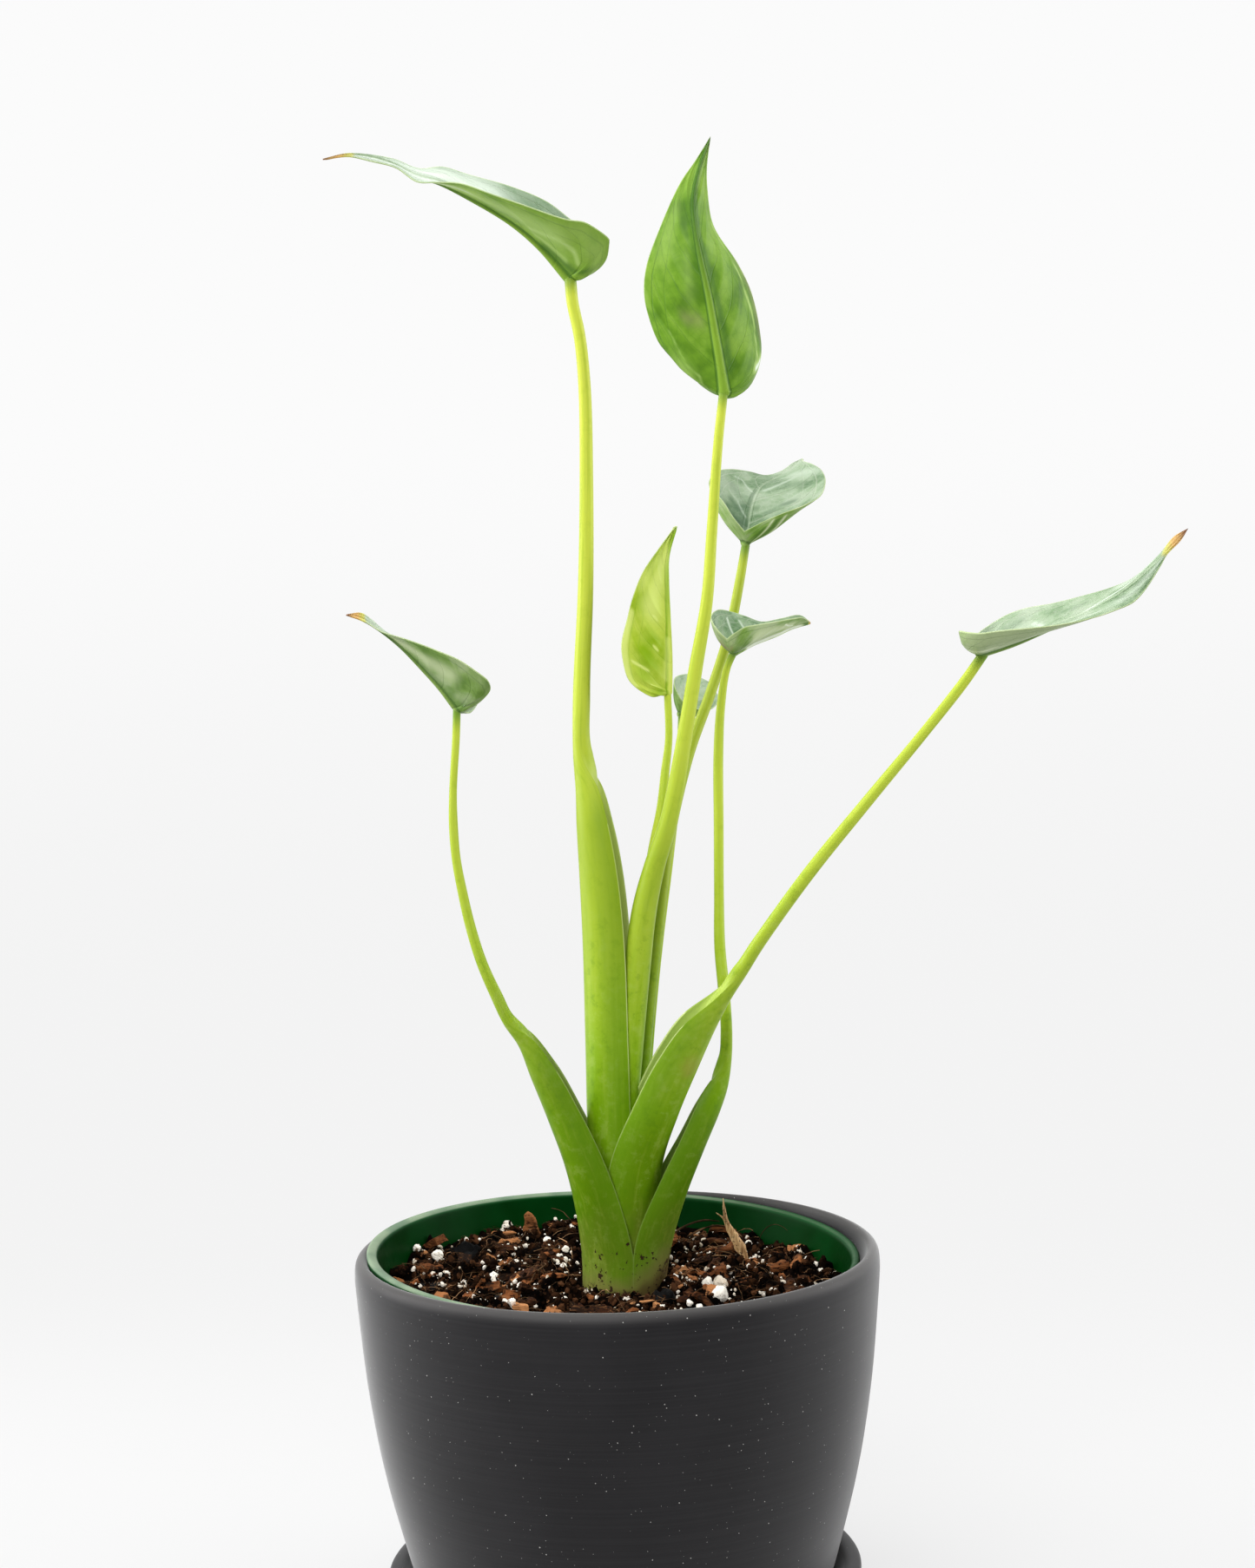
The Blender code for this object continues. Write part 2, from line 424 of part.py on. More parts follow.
def make_saucer(finish):
    inner = SAUCER_RADIUS - SAUCER_WALL
    profile = ((0, 0), (SAUCER_BASE_RADIUS, 0), (SAUCER_BASE_RADIUS + 2, 1.2), (SAUCER_RADIUS, SAUCER_HEIGHT - 2),
               (SAUCER_RADIUS - 1.2, SAUCER_HEIGHT - 0.4), (SAUCER_RADIUS - SAUCER_WALL / 2, SAUCER_HEIGHT),
               (inner + 0.8, SAUCER_HEIGHT - 0.6), (inner, SAUCER_HEIGHT - 2.2),
               (SAUCER_BASE_RADIUS - 2.5, SAUCER_FLOOR + 1.5), (SAUCER_BASE_RADIUS - 5, SAUCER_FLOOR),
               (0, SAUCER_FLOOR))
    return add_object("saucer", turned(profile, 48), finish)


def make_planter(finish):
    outside = [(radius, PLANTER_FOOT + height) for radius, height in PLANTER_OUTSIDE]
    lip = [(radius, PLANTER_TOP + drop) for radius, drop in PLANTER_LIP]
    inside_floor = PLANTER_FOOT + PLANTER_FLOOR
    inside = [(radius - PLANTER_WALL, height) for radius, height in outside[7:2:-2]]
    profile = [(0, PLANTER_FOOT)] + outside + lip + inside + [(57.0, inside_floor), (0, inside_floor)]
    return add_object("planter", turned(profile, 56), finish)


def make_nursery_pot(finish, tilt):
    """Modelled about the centre of its rim, where the tilting empty sits."""
    rim, neck, base = NURSERY_RIM_RADIUS, NURSERY_NECK_RADIUS, NURSERY_BASE_RADIUS
    floor = -NURSERY_HEIGHT
    profile = ((0, floor), (base - 1, floor), (base, floor + 1), (neck - 0.6, -NURSERY_RIM_DEPTH - 0.6),
               (rim, -NURSERY_RIM_DEPTH), (rim, -0.7), (rim - 0.8, 0), (rim - 1.5, 0), (neck - NURSERY_WALL, -1.8),
               (neck - NURSERY_WALL - 0.6, -NURSERY_RIM_DEPTH), (base - NURSERY_WALL, floor + NURSERY_WALL + 1),
               (base - NURSERY_WALL - 1, floor + NURSERY_WALL), (0, floor + NURSERY_WALL))
    return add_object("nursery_pot", turned(profile, 56), finish, tilt)


def inner_radius(depth):
    """Inside radius of the nursery pot, so far below its rim."""
    top = NURSERY_NECK_RADIUS - NURSERY_WALL - 0.6
    bottom = NURSERY_BASE_RADIUS - NURSERY_WALL
    run = NURSERY_HEIGHT - NURSERY_WALL - 1 - NURSERY_RIM_DEPTH
    return top + (bottom - top) * (depth - NURSERY_RIM_DEPTH) / run


def box_chip(length, width, thick):
    bm = bmesh.new()
    bmesh.ops.create_cube(bm, size=1)
    bmesh.ops.scale(bm, vec=(length, width, thick), verts=bm.verts)
    for vert in bm.verts:
        vert.co.x *= 1 - 0.25 * (vert.co.y > 0)
    return bm


def place(bm, x, y, z, turn, lean):
    import mathutils
    matrix = (mathutils.Matrix.Translation((x, y, z)) @ mathutils.Matrix.Rotation(math.radians(turn), 4, "Z")
              @ mathutils.Matrix.Rotation(math.radians(lean), 4, "Y"))
    bmesh.ops.transform(bm, matrix=matrix, verts=bm.verts)
    return bm


def make_soil(finish, tilt):
    """One body: the fill with a rough top, and the bark and perlite that lie half sunk in it."""
    draw = random.Random(7)
    waves = [(draw.uniform(0.08, 0.35), draw.uniform(0, math.tau), draw.uniform(0, math.tau)) for _ in range(9)]

    def relief(x, y):
        return SOIL_RELIEF * sum(math.sin(rate * (x * math.cos(way) + y * math.sin(way)) + phase)
                                 for rate, way, phase in waves) / 3

    def surface(x, y):
        return (NURSERY_TOP - SOIL_BELOW_RIM + relief(x, y) - x * math.tan(math.radians(NURSERY_TILT_DEG))
                + y * math.tan(math.radians(NURSERY_NOD_DEG)))

    segments = 44
    top = -SOIL_BELOW_RIM
    wall = inner_radius(SOIL_BELOW_RIM) - GAP
    bm = turned([(0, top)] + [(wall * ring / SOIL_RINGS, top) for ring in range(1, SOIL_RINGS + 1)]
                + [(inner_radius(NURSERY_HEIGHT - 4) - GAP, -NURSERY_HEIGHT + 4),
                   (inner_radius(NURSERY_HEIGHT - 4) - 2, -NURSERY_HEIGHT + NURSERY_WALL + GAP),
                   (0, -NURSERY_HEIGHT + NURSERY_WALL + GAP)], segments)
    for vert in bm.verts:
        radius = math.hypot(vert.co.x, vert.co.y)
        if vert.co.z > top - 1 and radius < wall - 1:
            vert.co.z += relief(vert.co.x, vert.co.y)
    soil = add_object("soil", bm, finish, tilt, 30)
    bits = []
    for x, y, z, turn, lean, length, width, thick in MARKED_CHIPS:
        bits.append(add_object("chip", place(box_chip(length, width, thick), x, y, z, turn, lean), None))
    while len(bits) < BARK_CHIPS:
        bearing, radius = draw.uniform(0, math.tau), wall * math.sqrt(draw.uniform(0.08, 0.8))
        x, y = radius * math.cos(bearing), radius * math.sin(bearing)
        chip = box_chip(draw.uniform(6, 11), draw.uniform(4, 6), draw.uniform(2, 3.5))
        place(chip, x, y, surface(x, y) + 0.4, draw.uniform(0, 360), draw.uniform(-28, 28))
        bits.append(add_object("chip", chip, None))
    for _ in range(PERLITE_GRAINS):
        bearing, radius = draw.uniform(0, math.tau), wall * math.sqrt(draw.uniform(0.07, 0.85))
        x, y = radius * math.cos(bearing), radius * math.sin(bearing)
        grain = bmesh.new()
        bmesh.ops.create_icosphere(grain, subdivisions=1, radius=draw.uniform(1.2, 2.1))
        place(grain, x, y, surface(x, y) + 0.5, draw.uniform(0, 360), 20)
        bits.append(add_object("grain", grain, None))
    splinter = bmesh_from(*tube(SPLINTER, 6))
    bits.append(add_object("splinter", splinter, None))
    group = bpy.data.collections.new("bits")
    for bit in bits:
        group.objects.link(bit)
    join = soil.modifiers.new("join", "BOOLEAN")
    join.operation = "UNION"
    join.operand_type = "COLLECTION"
    join.solver = "EXACT"
    join.collection = group
    carve(soil, [])
    for bit in bits:
        bpy.data.objects.remove(bit)
    bpy.data.collections.remove(group)
    hole = oval(STEM_ACROSS + 0.8, STEM_DEEP + 0.8, SHEATH_FOOT - GAP - CORM_HEIGHT - GAP, PLANTER_TOP, 28, 0.97)
    carve(soil, [add_object("hole", hole, None)])
    return soil


def tube(rows, sides):
    """Points and faces of a tapering round stick through (x, y, z, radius) rows."""
    rows = np.asarray(rows, float)
    angle = np.linspace(0, math.tau, sides, endpoint=False)
    points = [row[:3] + row[3] * np.stack([np.cos(angle), np.sin(angle), 0 * angle], axis=1) for row in rows]
    faces = [(i * sides + k, i * sides + (k + 1) % sides, (i + 1) * sides + (k + 1) % sides, (i + 1) * sides + k)
             for i in range(len(rows) - 1) for k in range(sides)]
    faces += [tuple(range(sides))[::-1], tuple(range((len(rows) - 1) * sides, len(rows) * sides))]
    return np.vstack(points), faces


def oval(across, deep, low, high, sides, foot=1.0):
    """An upright oval body about the stem, tapering to FOOT of its width at the bottom."""
    bm = bmesh.new()
    bmesh.ops.create_cone(bm, cap_ends=True, segments=sides, radius1=foot, radius2=1, depth=1)
    for vert in bm.verts:
        vert.co = (STEM_X + across * vert.co.x, STEM_Y + deep * vert.co.y, low + (high - low) * (vert.co.z + 0.5))
    return bm


def make_corm(finish):
    top = SHEATH_FOOT - GAP
    corm = add_object("corm", oval(STEM_ACROSS, STEM_DEEP, top - CORM_HEIGHT, top, 24, 0.7), finish)
    edge = corm.modifiers.new("rounded foot", "BEVEL")
    edge.width = 2.0 * MM
    edge.segments = 2
    edge.limit_method = "ANGLE"
    return corm


def make_plant(stalk_finish, blade_finishes):
    """Blades first, then the petioles from the youngest out, each cut clear of what it wraps."""
    for number, spec in BLADES.items():
        add_object(f"blade_{number}", blade(spec), blade_finishes.get(number, blade_finishes[0]), sharp=60)
    for place_in_order, number in enumerate(YOUNGEST_FIRST):
        spec = PETIOLES[number]
        sides = SHEATH_SIDES if spec["sheath"] else STALK_SIDES
        stalk = add_object(f"petiole_{number}", petiole(spec, sides), stalk_finish, sharp=50)
        cutters = [add_object("clear_blade", blade(BLADES[number], GAP), None)]
        for inner in reversed(YOUNGEST_FIRST[:place_in_order]):
            beside = number == 4 and inner == 6
            wrapped = petiole(PETIOLES[inner], SHEATH_SIDES if PETIOLES[inner]["sheath"] else STALK_SIDES,
                              grow=GAP + 0.1, filled=not beside)
            cutters.append(add_object(f"clear_{inner}", wrapped, None))
        carve(stalk, cutters)


def build():
    clear_scene()
    charcoal = material("charcoal_clay", (0.045, 0.044, 0.046), 0.6)
    green_plastic = material("green_plastic", (0.01, 0.09, 0.035), 0.35)
    earth = material("potting_mix", (0.045, 0.026, 0.017), 0.9)
    corm_skin = material("corm_skin", (0.25, 0.17, 0.09), 0.8)
    stalk = material("petiole_green", (0.34, 0.52, 0.05), 0.4)
    leaf = material("leaf_green", (0.12, 0.26, 0.07), 0.45)
    young_leaf = material("young_leaf_green", (0.36, 0.55, 0.06), 0.4)
    tilt = bpy.data.objects.new("nursery_tilt", None)
    bpy.context.collection.objects.link(tilt)
    tilt.location = (NURSERY_SHIFT * MM, 0, NURSERY_TOP * MM)
    tilt.rotation_euler = (math.radians(NURSERY_NOD_DEG), math.radians(NURSERY_TILT_DEG), 0)
    make_saucer(charcoal)
    make_planter(charcoal)
    make_nursery_pot(green_plastic, tilt)
    make_soil(earth, tilt)
    make_corm(corm_skin)
    make_plant(stalk, {0: leaf, 7: young_leaf})


build()
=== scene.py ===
"""The looks of a tiny dancer alocasia in its nursery pot, planter and saucer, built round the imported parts.

Lengths are written in millimetres from the point under the pot's centre on the table, with X to the right,
Y away from the viewer and Z up.
"""
import math
import random

import bmesh
import bpy
import numpy as np
from mathutils import Matrix, Vector, noise


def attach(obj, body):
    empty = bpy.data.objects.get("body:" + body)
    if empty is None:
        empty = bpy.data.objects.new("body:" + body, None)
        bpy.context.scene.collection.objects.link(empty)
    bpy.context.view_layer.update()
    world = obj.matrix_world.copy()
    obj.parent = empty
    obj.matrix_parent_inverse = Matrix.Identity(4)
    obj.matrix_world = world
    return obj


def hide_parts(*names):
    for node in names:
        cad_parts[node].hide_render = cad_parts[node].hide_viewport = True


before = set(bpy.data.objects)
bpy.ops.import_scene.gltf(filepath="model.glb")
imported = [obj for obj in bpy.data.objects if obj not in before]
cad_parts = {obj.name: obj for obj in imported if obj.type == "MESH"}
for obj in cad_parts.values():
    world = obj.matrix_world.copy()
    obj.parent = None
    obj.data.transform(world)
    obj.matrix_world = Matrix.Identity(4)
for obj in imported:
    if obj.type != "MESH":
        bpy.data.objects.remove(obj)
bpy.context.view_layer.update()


# Saucer: a shallow tray of the same dark clay as the planter, turned on a wheel and fired matt.
# It is one piece with a thick rounded rim, and the planter stands loose on its floor.

MM = 0.001
SAUCER = ((0, 0, 0), (69.5, 0, 1.5), (77.1, 20, 2.4), (71.6, 20, 2.2), (65.0, 4.2, 3.5), (0, 4.2, 0))
TURNED_SIDES = 224
SIDE_SHARE = 0.48                   # the most of an outline's side that a corner's rounding takes


def softened(corners, steps):
    """An outline of (radius, height) points from corners with a rounding each."""
    places = [np.array(corner[:2], float) for corner in corners]
    points = [places[0]]
    for before, here, after, corner in zip(places, places[1:], places[2:], corners[1:]):
        start = here + (before - here) * min(SIDE_SHARE, corner[2] / np.linalg.norm(before - here))
        end = here + (after - here) * min(SIDE_SHARE, corner[2] / np.linalg.norm(after - here))
        for t in np.linspace(0, 1, steps):
            points.append((1 - t) ** 2 * start + 2 * t * (1 - t) * here + t * t * end)
    return points + [places[-1]]


def placed(name, data):
    """An object in the scene from its mesh, lamp or lens."""
    piece = bpy.data.objects.new(name, data)
    bpy.context.collection.objects.link(piece)
    return piece


def solid_piece(name, points, faces, finish):
    """A closed mesh object from points in millimetres, with its faces turned outwards."""
    mesh = bpy.data.meshes.new(name)
    mesh.from_pydata((np.asarray(points) * MM).tolist(), [], faces)
    bm = bmesh.new()
    bm.from_mesh(mesh)
    bmesh.ops.recalc_face_normals(bm, faces=bm.faces)
    bm.to_mesh(mesh)
    bm.free()
    mesh.shade_smooth()
    mesh.materials.append(finish)
    return placed(name, mesh)


def skinned(rings, sides):
    """Faces that join rings of points in turn, and close each end on one of the two points after them."""
    count = rings * sides
    faces = []
    for k in range(sides):
        after = (k + 1) % sides
        for low in range(0, count - sides, sides):
            faces.append((low + k, low + after, low + sides + after, low + sides + k))
        faces.append((k, count, after))
        faces.append((count - sides + k, count - sides + after, count + 1))
    return faces


def turned(name, outline, finish):
    """A piece turned about Z from an outline that starts and ends on the axis."""
    ring = np.array(outline[1:-1], float)
    angle = np.linspace(0, math.tau, TURNED_SIDES, endpoint=False)
    spin = np.stack([np.cos(angle), np.sin(angle)], axis=1)
    rise = np.repeat(ring[:, None, 1:], TURNED_SIDES, axis=1)
    points = np.concatenate([ring[:, None, :1] * spin[None], rise], axis=2).reshape(-1, 3)
    points = np.vstack([points, (0, 0, outline[0][1]), (0, 0, outline[-1][1])])
    return solid_piece(name, points, skinned(len(ring), TURNED_SIDES), finish)


class Wire:
    """A node's output, reckoned with like a number. Its [key] is another output of the same node."""

    def __init__(self, socket):
        self.socket = socket
        self.tree = socket.id_data

    def __getitem__(self, key):
        return Wire(self.socket.node.outputs[key])

    def __add__(self, other):
        return maths("ADD", self, other)

    def __sub__(self, other):
        return maths("SUBTRACT", self, other)

    def __rsub__(self, other):
        return maths("SUBTRACT", other, self)

    def __mul__(self, other):
        return maths("MULTIPLY", self, other)

    def __truediv__(self, other):
        return maths("DIVIDE", self, other)

    def __pow__(self, other):
        return maths("POWER", self, other)

    def __lt__(self, other):
        return maths("LESS_THAN", self, other)

    def __gt__(self, other):
        return maths("GREATER_THAN", self, other)

    def __abs__(self):
        return maths("ABSOLUTE", self)


def add_node(tree, kind, inputs=None, out=0, **settings):
    """A new node's output. Each input is a number, a vector, a colour or a wire."""
    node = tree.nodes.new(kind)
    for key, value in settings.items():
        setattr(node, key, value)
    for key, value in (inputs or {}).items():
        socket = node.inputs[key]
        if isinstance(value, Wire):
            tree.links.new(value.socket, socket)
        else:
            socket.default_value = (*value, 1.0) if socket.type == "RGBA" else value
    return Wire(node.outputs[out]) if node.outputs else None


def tree_of(values):
    return next(value.tree for value in values if isinstance(value, Wire))


def maths(operation, *values):
    return add_node(tree_of(values), "ShaderNodeMath", dict(enumerate(values)), operation=operation)


def mixed(share, first, second, blend="MIX"):
    """Two colours mixed by a share."""
    inputs = {0: share, 6: first, 7: second}
    return add_node(tree_of(inputs.values()), "ShaderNodeMix", inputs, 2, data_type="RGBA", blend_type=blend)


def painted(body, **coats):
    """A colour under named coats, each how much of it there is and its colour."""
    for share, tone in coats.values():
        body = mixed(share, body, tone)
    return body


def between(value, low, high, out_low=0.0, out_high=1.0, easing="SMOOTHSTEP"):
    """The value eased from one range to another."""
    inputs = {0: value, 1: low, 2: high, 3: out_low, 4: out_high}
    return add_node(value.tree, "ShaderNodeMapRange", inputs, interpolation_type=easing)


def clouds(place, scale, detail, roughness=0.5, out=0):
    inputs = {"Vector": place, "Scale": scale, "Detail": detail, "Roughness": roughness}
    return add_node(place.tree, "ShaderNodeTexNoise", inputs, out)


def cells(place, scale, out="Distance", **settings):
    return add_node(place.tree, "ShaderNodeTexVoronoi", {"Vector": place, "Scale": scale}, out, **settings)


def stretched(place, scale, turn=(0, 0, 0)):
    inputs = {"Vector": place, "Rotation": turn, "Scale": scale}
    return add_node(place.tree, "ShaderNodeMapping", inputs)


def axis(place, number):
    return add_node(place.tree, "ShaderNodeSeparateXYZ", {0: place}, number)


def attribute(tree, name, out="Fac"):
    return add_node(tree, "ShaderNodeAttribute", None, out, attribute_name=name)


def bump(height, strength, distance, **more):
    inputs = {"Height": height, "Strength": strength, "Distance": distance, **more}
    return add_node(height.tree, "ShaderNodeBump", inputs)


def blank_material(name):
    """A new material, its empty node tree and the place on the piece."""
    material = bpy.data.materials.new(name)
    material.use_nodes = True
    tree = material.node_tree
    tree.nodes.clear()
    return material, tree, add_node(tree, "ShaderNodeTexCoord", out="Object")


def coated(material, inputs):
    """The material with a Principled shader that has the given inputs."""
    shader = add_node(material.node_tree, "ShaderNodeBsdfPrincipled", inputs)
    add_node(material.node_tree, "ShaderNodeOutputMaterial", {0: shader})
    return material


def turned_clay():
    """Charcoal clay: faint turning lines round the pot, pale mineral specks that show in the body, and a
    painted highlight along the top of the lip.
    """
    material, tree, place = blank_material("charcoal clay")
    lines = clouds(stretched(place, (9, 9, 1500)), 1.0, 4.0)
    cloud = clouds(place, 38.0, 3.0)
    grain = clouds(place, 2600.0, 2.0)
    body = mixed(between(cloud, 0.3, 0.7), (0.0072, 0.0067, 0.0078), (0.0108, 0.0102, 0.0116))
    body = painted(
        body,
        turning_lines=(between(lines, 0.35, 0.75, 0, 0.3), (0.0195, 0.0187, 0.0199)),
        # painted highlight: the top of the lip is lighter, standing in for the light it catches
        lit_lip=(between(axis(place, 2), 0.1190, 0.1230, 0, 0.85), (0.052, 0.049, 0.048)))
    for size, reach, chosen, tone in ((430.0, 0.088, 0.15, (0.36, 0.355, 0.34)),
                                      (640.0, 0.115, 0.45, (0.14, 0.138, 0.132))):
        speck = cells(place, size)
        pick = add_node(tree, "ShaderNodeSeparateColor", {0: speck["Color"]})
        body = mixed((speck < pick[1] * reach) * (pick > chosen), body, tone)
    return coated(material, {
        "Base Color": body, "Roughness": between(cloud, 0.2, 0.8, 0.46, 0.56), "Specular IOR Level": 0.18,
        "Sheen Weight": 0.42, "Sheen Roughness": 0.35, "Normal": bump(lines + grain * 0.35, 0.2, 0.0001)})


charcoal = turned_clay()
saucer = turned("saucer_tray", softened(SAUCER, 6), charcoal)
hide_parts("saucer")
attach(saucer, "root")


# Planter: the cover pot of charcoal clay, thrown with walls that bulge as they rise to a rounded lip.
# It stands loose on the saucer's floor, and holds the nursery pot inside.

PLANTER = (
    (0, 4.5, 0), (60.2, 4.5, 1.5), (62.6, 7.5, 1), (65.4, 13.5, 3), (68.3, 21.5, 4), (71.7, 34, 5),
    (75.1, 47, 5), (77.9, 60, 5), (80.0, 72.5, 5), (81.5, 83, 5), (82.6, 93.5, 4), (83.5, 103.5, 3),
    (84.2, 111.5, 3), (84.6, 117.0, 2.4), (84.3, 121.4, 2.0), (82.4, 123.0, 1.5), (80.8, 122.7, 1.2),
    (80.1, 120.0, 1.2), (78.4, 113.6, 3), (77.4, 101, 4), (75.0, 72, 6), (66.6, 34, 6), (57, 9.5, 4),
    (0, 9.5, 0))

planter = turned("planter_pot", softened(PLANTER, 5), charcoal)
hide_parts("planter")
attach(planter, "root")


# Nursery pot: thin blow-moulded plastic in dark green, its rolled rim paler, partly its own colour and partly
# painted light: a painted highlight on the left and painted shade on the right.
# It leans a little to the right and to the front, so its rim stands proud of the planter's lip on the left.

NURSERY_TILT_DEG = 2.1
NURSERY_NOD_DEG = 1.2
NURSERY_RIM = (-0.8, 0, 122.0)      # the middle of its rim, from which its own heights are measured
LEAN = (Matrix.Translation([part * MM for part in NURSERY_RIM])
        @ Matrix.Rotation(math.radians(NURSERY_TILT_DEG), 4, "Y")
        @ Matrix.Rotation(math.radians(NURSERY_NOD_DEG), 4, "X"))
NURSERY = (
    (0, -109.9, 0), (52.4, -109.9, 1.2), (76.4, -7.6, 0.6), (77.6, -6.4, 0.6), (77.6, -2.7, 0.5),
    (79.0, -2.4, 0.5), (79.1, 0, 1.1), (77.4, 0, 0.8), (76.2, -1.4, 0.6), (75.2, -7, 3),
    (51.0, -107.6, 1.2), (0, -108.4, 0))
NECK_RADIUS = 77.6                  # of the wall under the rim
RIM_FROM, RIM_ABOVE = 77.3, -3      # what lies further out and higher is the rim
RIM_PRESSED_IN = 0.8                # how far the planter's lip presses the rim in on the left


def green_plastic():
    """Dark green polythene, scuffed, with a grey-green rim lit by painted highlight and dimmed by painted
    shade on the right.
    """
    material, tree, place = blank_material("green plastic")
    lip = attribute(tree, "lip")
    scuff = clouds(place, 420.0, 5.0, 0.7)
    cloud = clouds(place, 60.0, 2.0)
    wall = mixed(between(cloud, 0.3, 0.7), (0.0004, 0.021, 0.0020), (0.0010, 0.031, 0.0045))
    edge = mixed(between(cloud, 0.30, 0.66), (0.115, 0.178, 0.118), (0.205, 0.270, 0.180))
    body = painted(
        wall,
        scuffs=(between(scuff, 0.72, 0.80, 0, 0.5), (0.04, 0.12, 0.05)),
        # painted highlight: a lighter green band under the rim, which also fades where the rim's share
        # carries painted shade
        lit_neck=(between(lip, 0.0, 0.6, 0, 0.35), (0.030, 0.120, 0.045)),
        rim=(between(lip, 0.5, 1.0), edge))
    return coated(material, {
        "Base Color": body, "Roughness": between(scuff, 0.2, 0.8, 0.30, 0.46), "Specular IOR Level": 0.025,
        "Normal": bump(cloud, 0.2, 0.0004)})


def mark(mesh, **values):
    """Point attributes of a mesh from lists of numbers or of vectors."""
    for name, value in values.items():
        value = np.asarray(value, np.float32)
        kind, field = ("FLOAT", "value") if value.ndim == 1 else ("FLOAT_VECTOR", "vector")
        layer = mesh.attributes.new(name, kind, "POINT")
        layer.data.foreach_set(field, value.reshape(-1))


nursery = turned("nursery_pot_shell", softened(NURSERY, 5), green_plastic())
across, depth, level = np.array([corner.co for corner in nursery.data.vertices]).T / MM
# Painted light in the rim's share: painted shade dims the rim's outer edge and the right side, so the left of
# the rim reads lit.
outer_edge = np.clip(np.hypot(across, depth) - NECK_RADIUS, 0, 1) * np.clip(0.3 + across / 80, 0, 1)
right_part = np.clip(across / 60, 0, 1)
mark(nursery.data, lip=np.clip((level + 1.5) / 0.9, 0, 1) * (1 - 0.8 * outer_edge) * (1 - 0.38 * right_part))
for corner in nursery.data.vertices:
    reach = math.hypot(corner.co.x, corner.co.y)
    if reach > RIM_FROM * MM and corner.co.z > RIM_ABOVE * MM and corner.co.x < 0:
        corner.co.x -= RIM_PRESSED_IN * MM * (corner.co.x / reach) ** 2
nursery.data.transform(LEAN)
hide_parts("nursery_pot")
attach(nursery, "root")


# Potting mix: peat, coco fibre, pine bark, charcoal and white perlite, filled to 10 mm below the rim.
# The body is one rough mass, heaped against the stem, and the loose bits lie on it and half sunk in it.

SOIL_RADIUS = 74.0
SOIL_TOP = -10.4
SOIL_RINGS = 150
SOIL_SIDES = 420
WALL_GAP, STEM_GAP = 1.6, 0.8       # no loose bit is strewn nearer to the pot's wall or to the stem
STEM = (1.8, 0.5, 13.2, 12.0)       # centre and half axes of the plant's foot, which stands in the mix
STEM_HEAPS = ((-125, 3.4), (-172, 1.6), (-18, 4.4), (60, 1.5))      # bearing from the foot, and rise


def soil_level(x, y):
    """Height of the mix above its mean level, in the leaning pot's frame."""
    big = noise.fractal(Vector((x / 21 + 3.1, y / 21, 0.7)), 1.0, 2.0, 3)
    clod = noise.turbulence(Vector((x / 7.5, y / 7.5, 4.2)), 3, False)
    crumb = noise.fractal(Vector((x / 1.9, y / 1.9, 9.0)), 0.7, 2.1, 3)
    behind = max(0.0, min(1.0, (y - 10) / 60))
    right = max(0.0, min(1.0, x / 65))
    heap = 1.3 * behind + 1.2 * math.exp(-((x + 48) ** 2 + (y - 30) ** 2) / 320) + 1.4 * right
    for bearing, rise in STEM_HEAPS:
        turn = math.radians(bearing)
        away = math.hypot(x - STEM[0] - STEM[2] * math.cos(turn), y - STEM[1] - STEM[3] * math.sin(turn))
        heap += rise * math.exp(-(away / 5.5) ** 2)
    return 2.0 * big + 4.2 * (clod - 0.5) + 0.62 * crumb + heap


def soil_mass(finish):
    """The fill, with its rough top in fine rings and plain sides below it."""
    turns = np.linspace(0, math.tau, SOIL_SIDES, endpoint=False)
    spin = [(math.cos(turn), math.sin(turn)) for turn in turns]
    points = []
    for radius in SOIL_RADIUS * np.linspace(0, 1, SOIL_RINGS + 1)[1:]:
        for x, y in spin:
            points.append((radius * x, radius * y, SOIL_TOP + soil_level(radius * x, radius * y)))
    below = ((SOIL_RADIUS - 0.9, -16), (50.8, -105.4), (48.5, -107.4))
    for radius, height in below:
        points += [(radius * x, radius * y, height) for x, y in spin]
    points += [(0, 0, SOIL_TOP + soil_level(0, 0)), (0, 0, below[-1][1])]
    return solid_piece("mix_mass", points, skinned(SOIL_RINGS + len(below), SOIL_SIDES), finish)


def peat(name, dark, light, roughness=0.92):
    """Damp peat or charcoal: near black in patches of painted shade for its hollows, with a few brown fibres
    and pale dust.
    """
    material, tree, place = blank_material(name)
    grit = clouds(place, 1500.0, 3.0, 0.7)
    clods = clouds(place, 105.0, 3.0)
    body = painted(
        mixed(between(clouds(place, 190.0, 4.0), 0.35, 0.68), dark, light),
        pale_bits=(attribute(tree, "tone") ** 3.0, [min(1, 3.0 * share) for share in light]),
        dust=(between(grit, 0.68, 0.76), (0.15, 0.095, 0.05)),
        # painted shade: dark patches where the hollows between clods would lie in shadow
        hollows=(between(clods, 0.52, 0.40, 0, 0.85), [0.35 * share for share in dark]))
    return coated(material, {"Base Color": body, "Roughness": roughness, "Specular IOR Level": 0.02,
                             "Normal": bump(grit, 0.8, 0.0004)})


def ramp(value, *stops):
    """A colour that changes through the given stops, each a place and a colour."""
    result = add_node(value.tree, "ShaderNodeValToRGB", {0: value})
    elements = result.socket.node.color_ramp.elements
    while len(elements) < len(stops):
        elements.new(0.5)
    for element, (place, tone) in zip(elements, stops):
        element.position = place
        element.color = (*tone, 1.0)
    return result


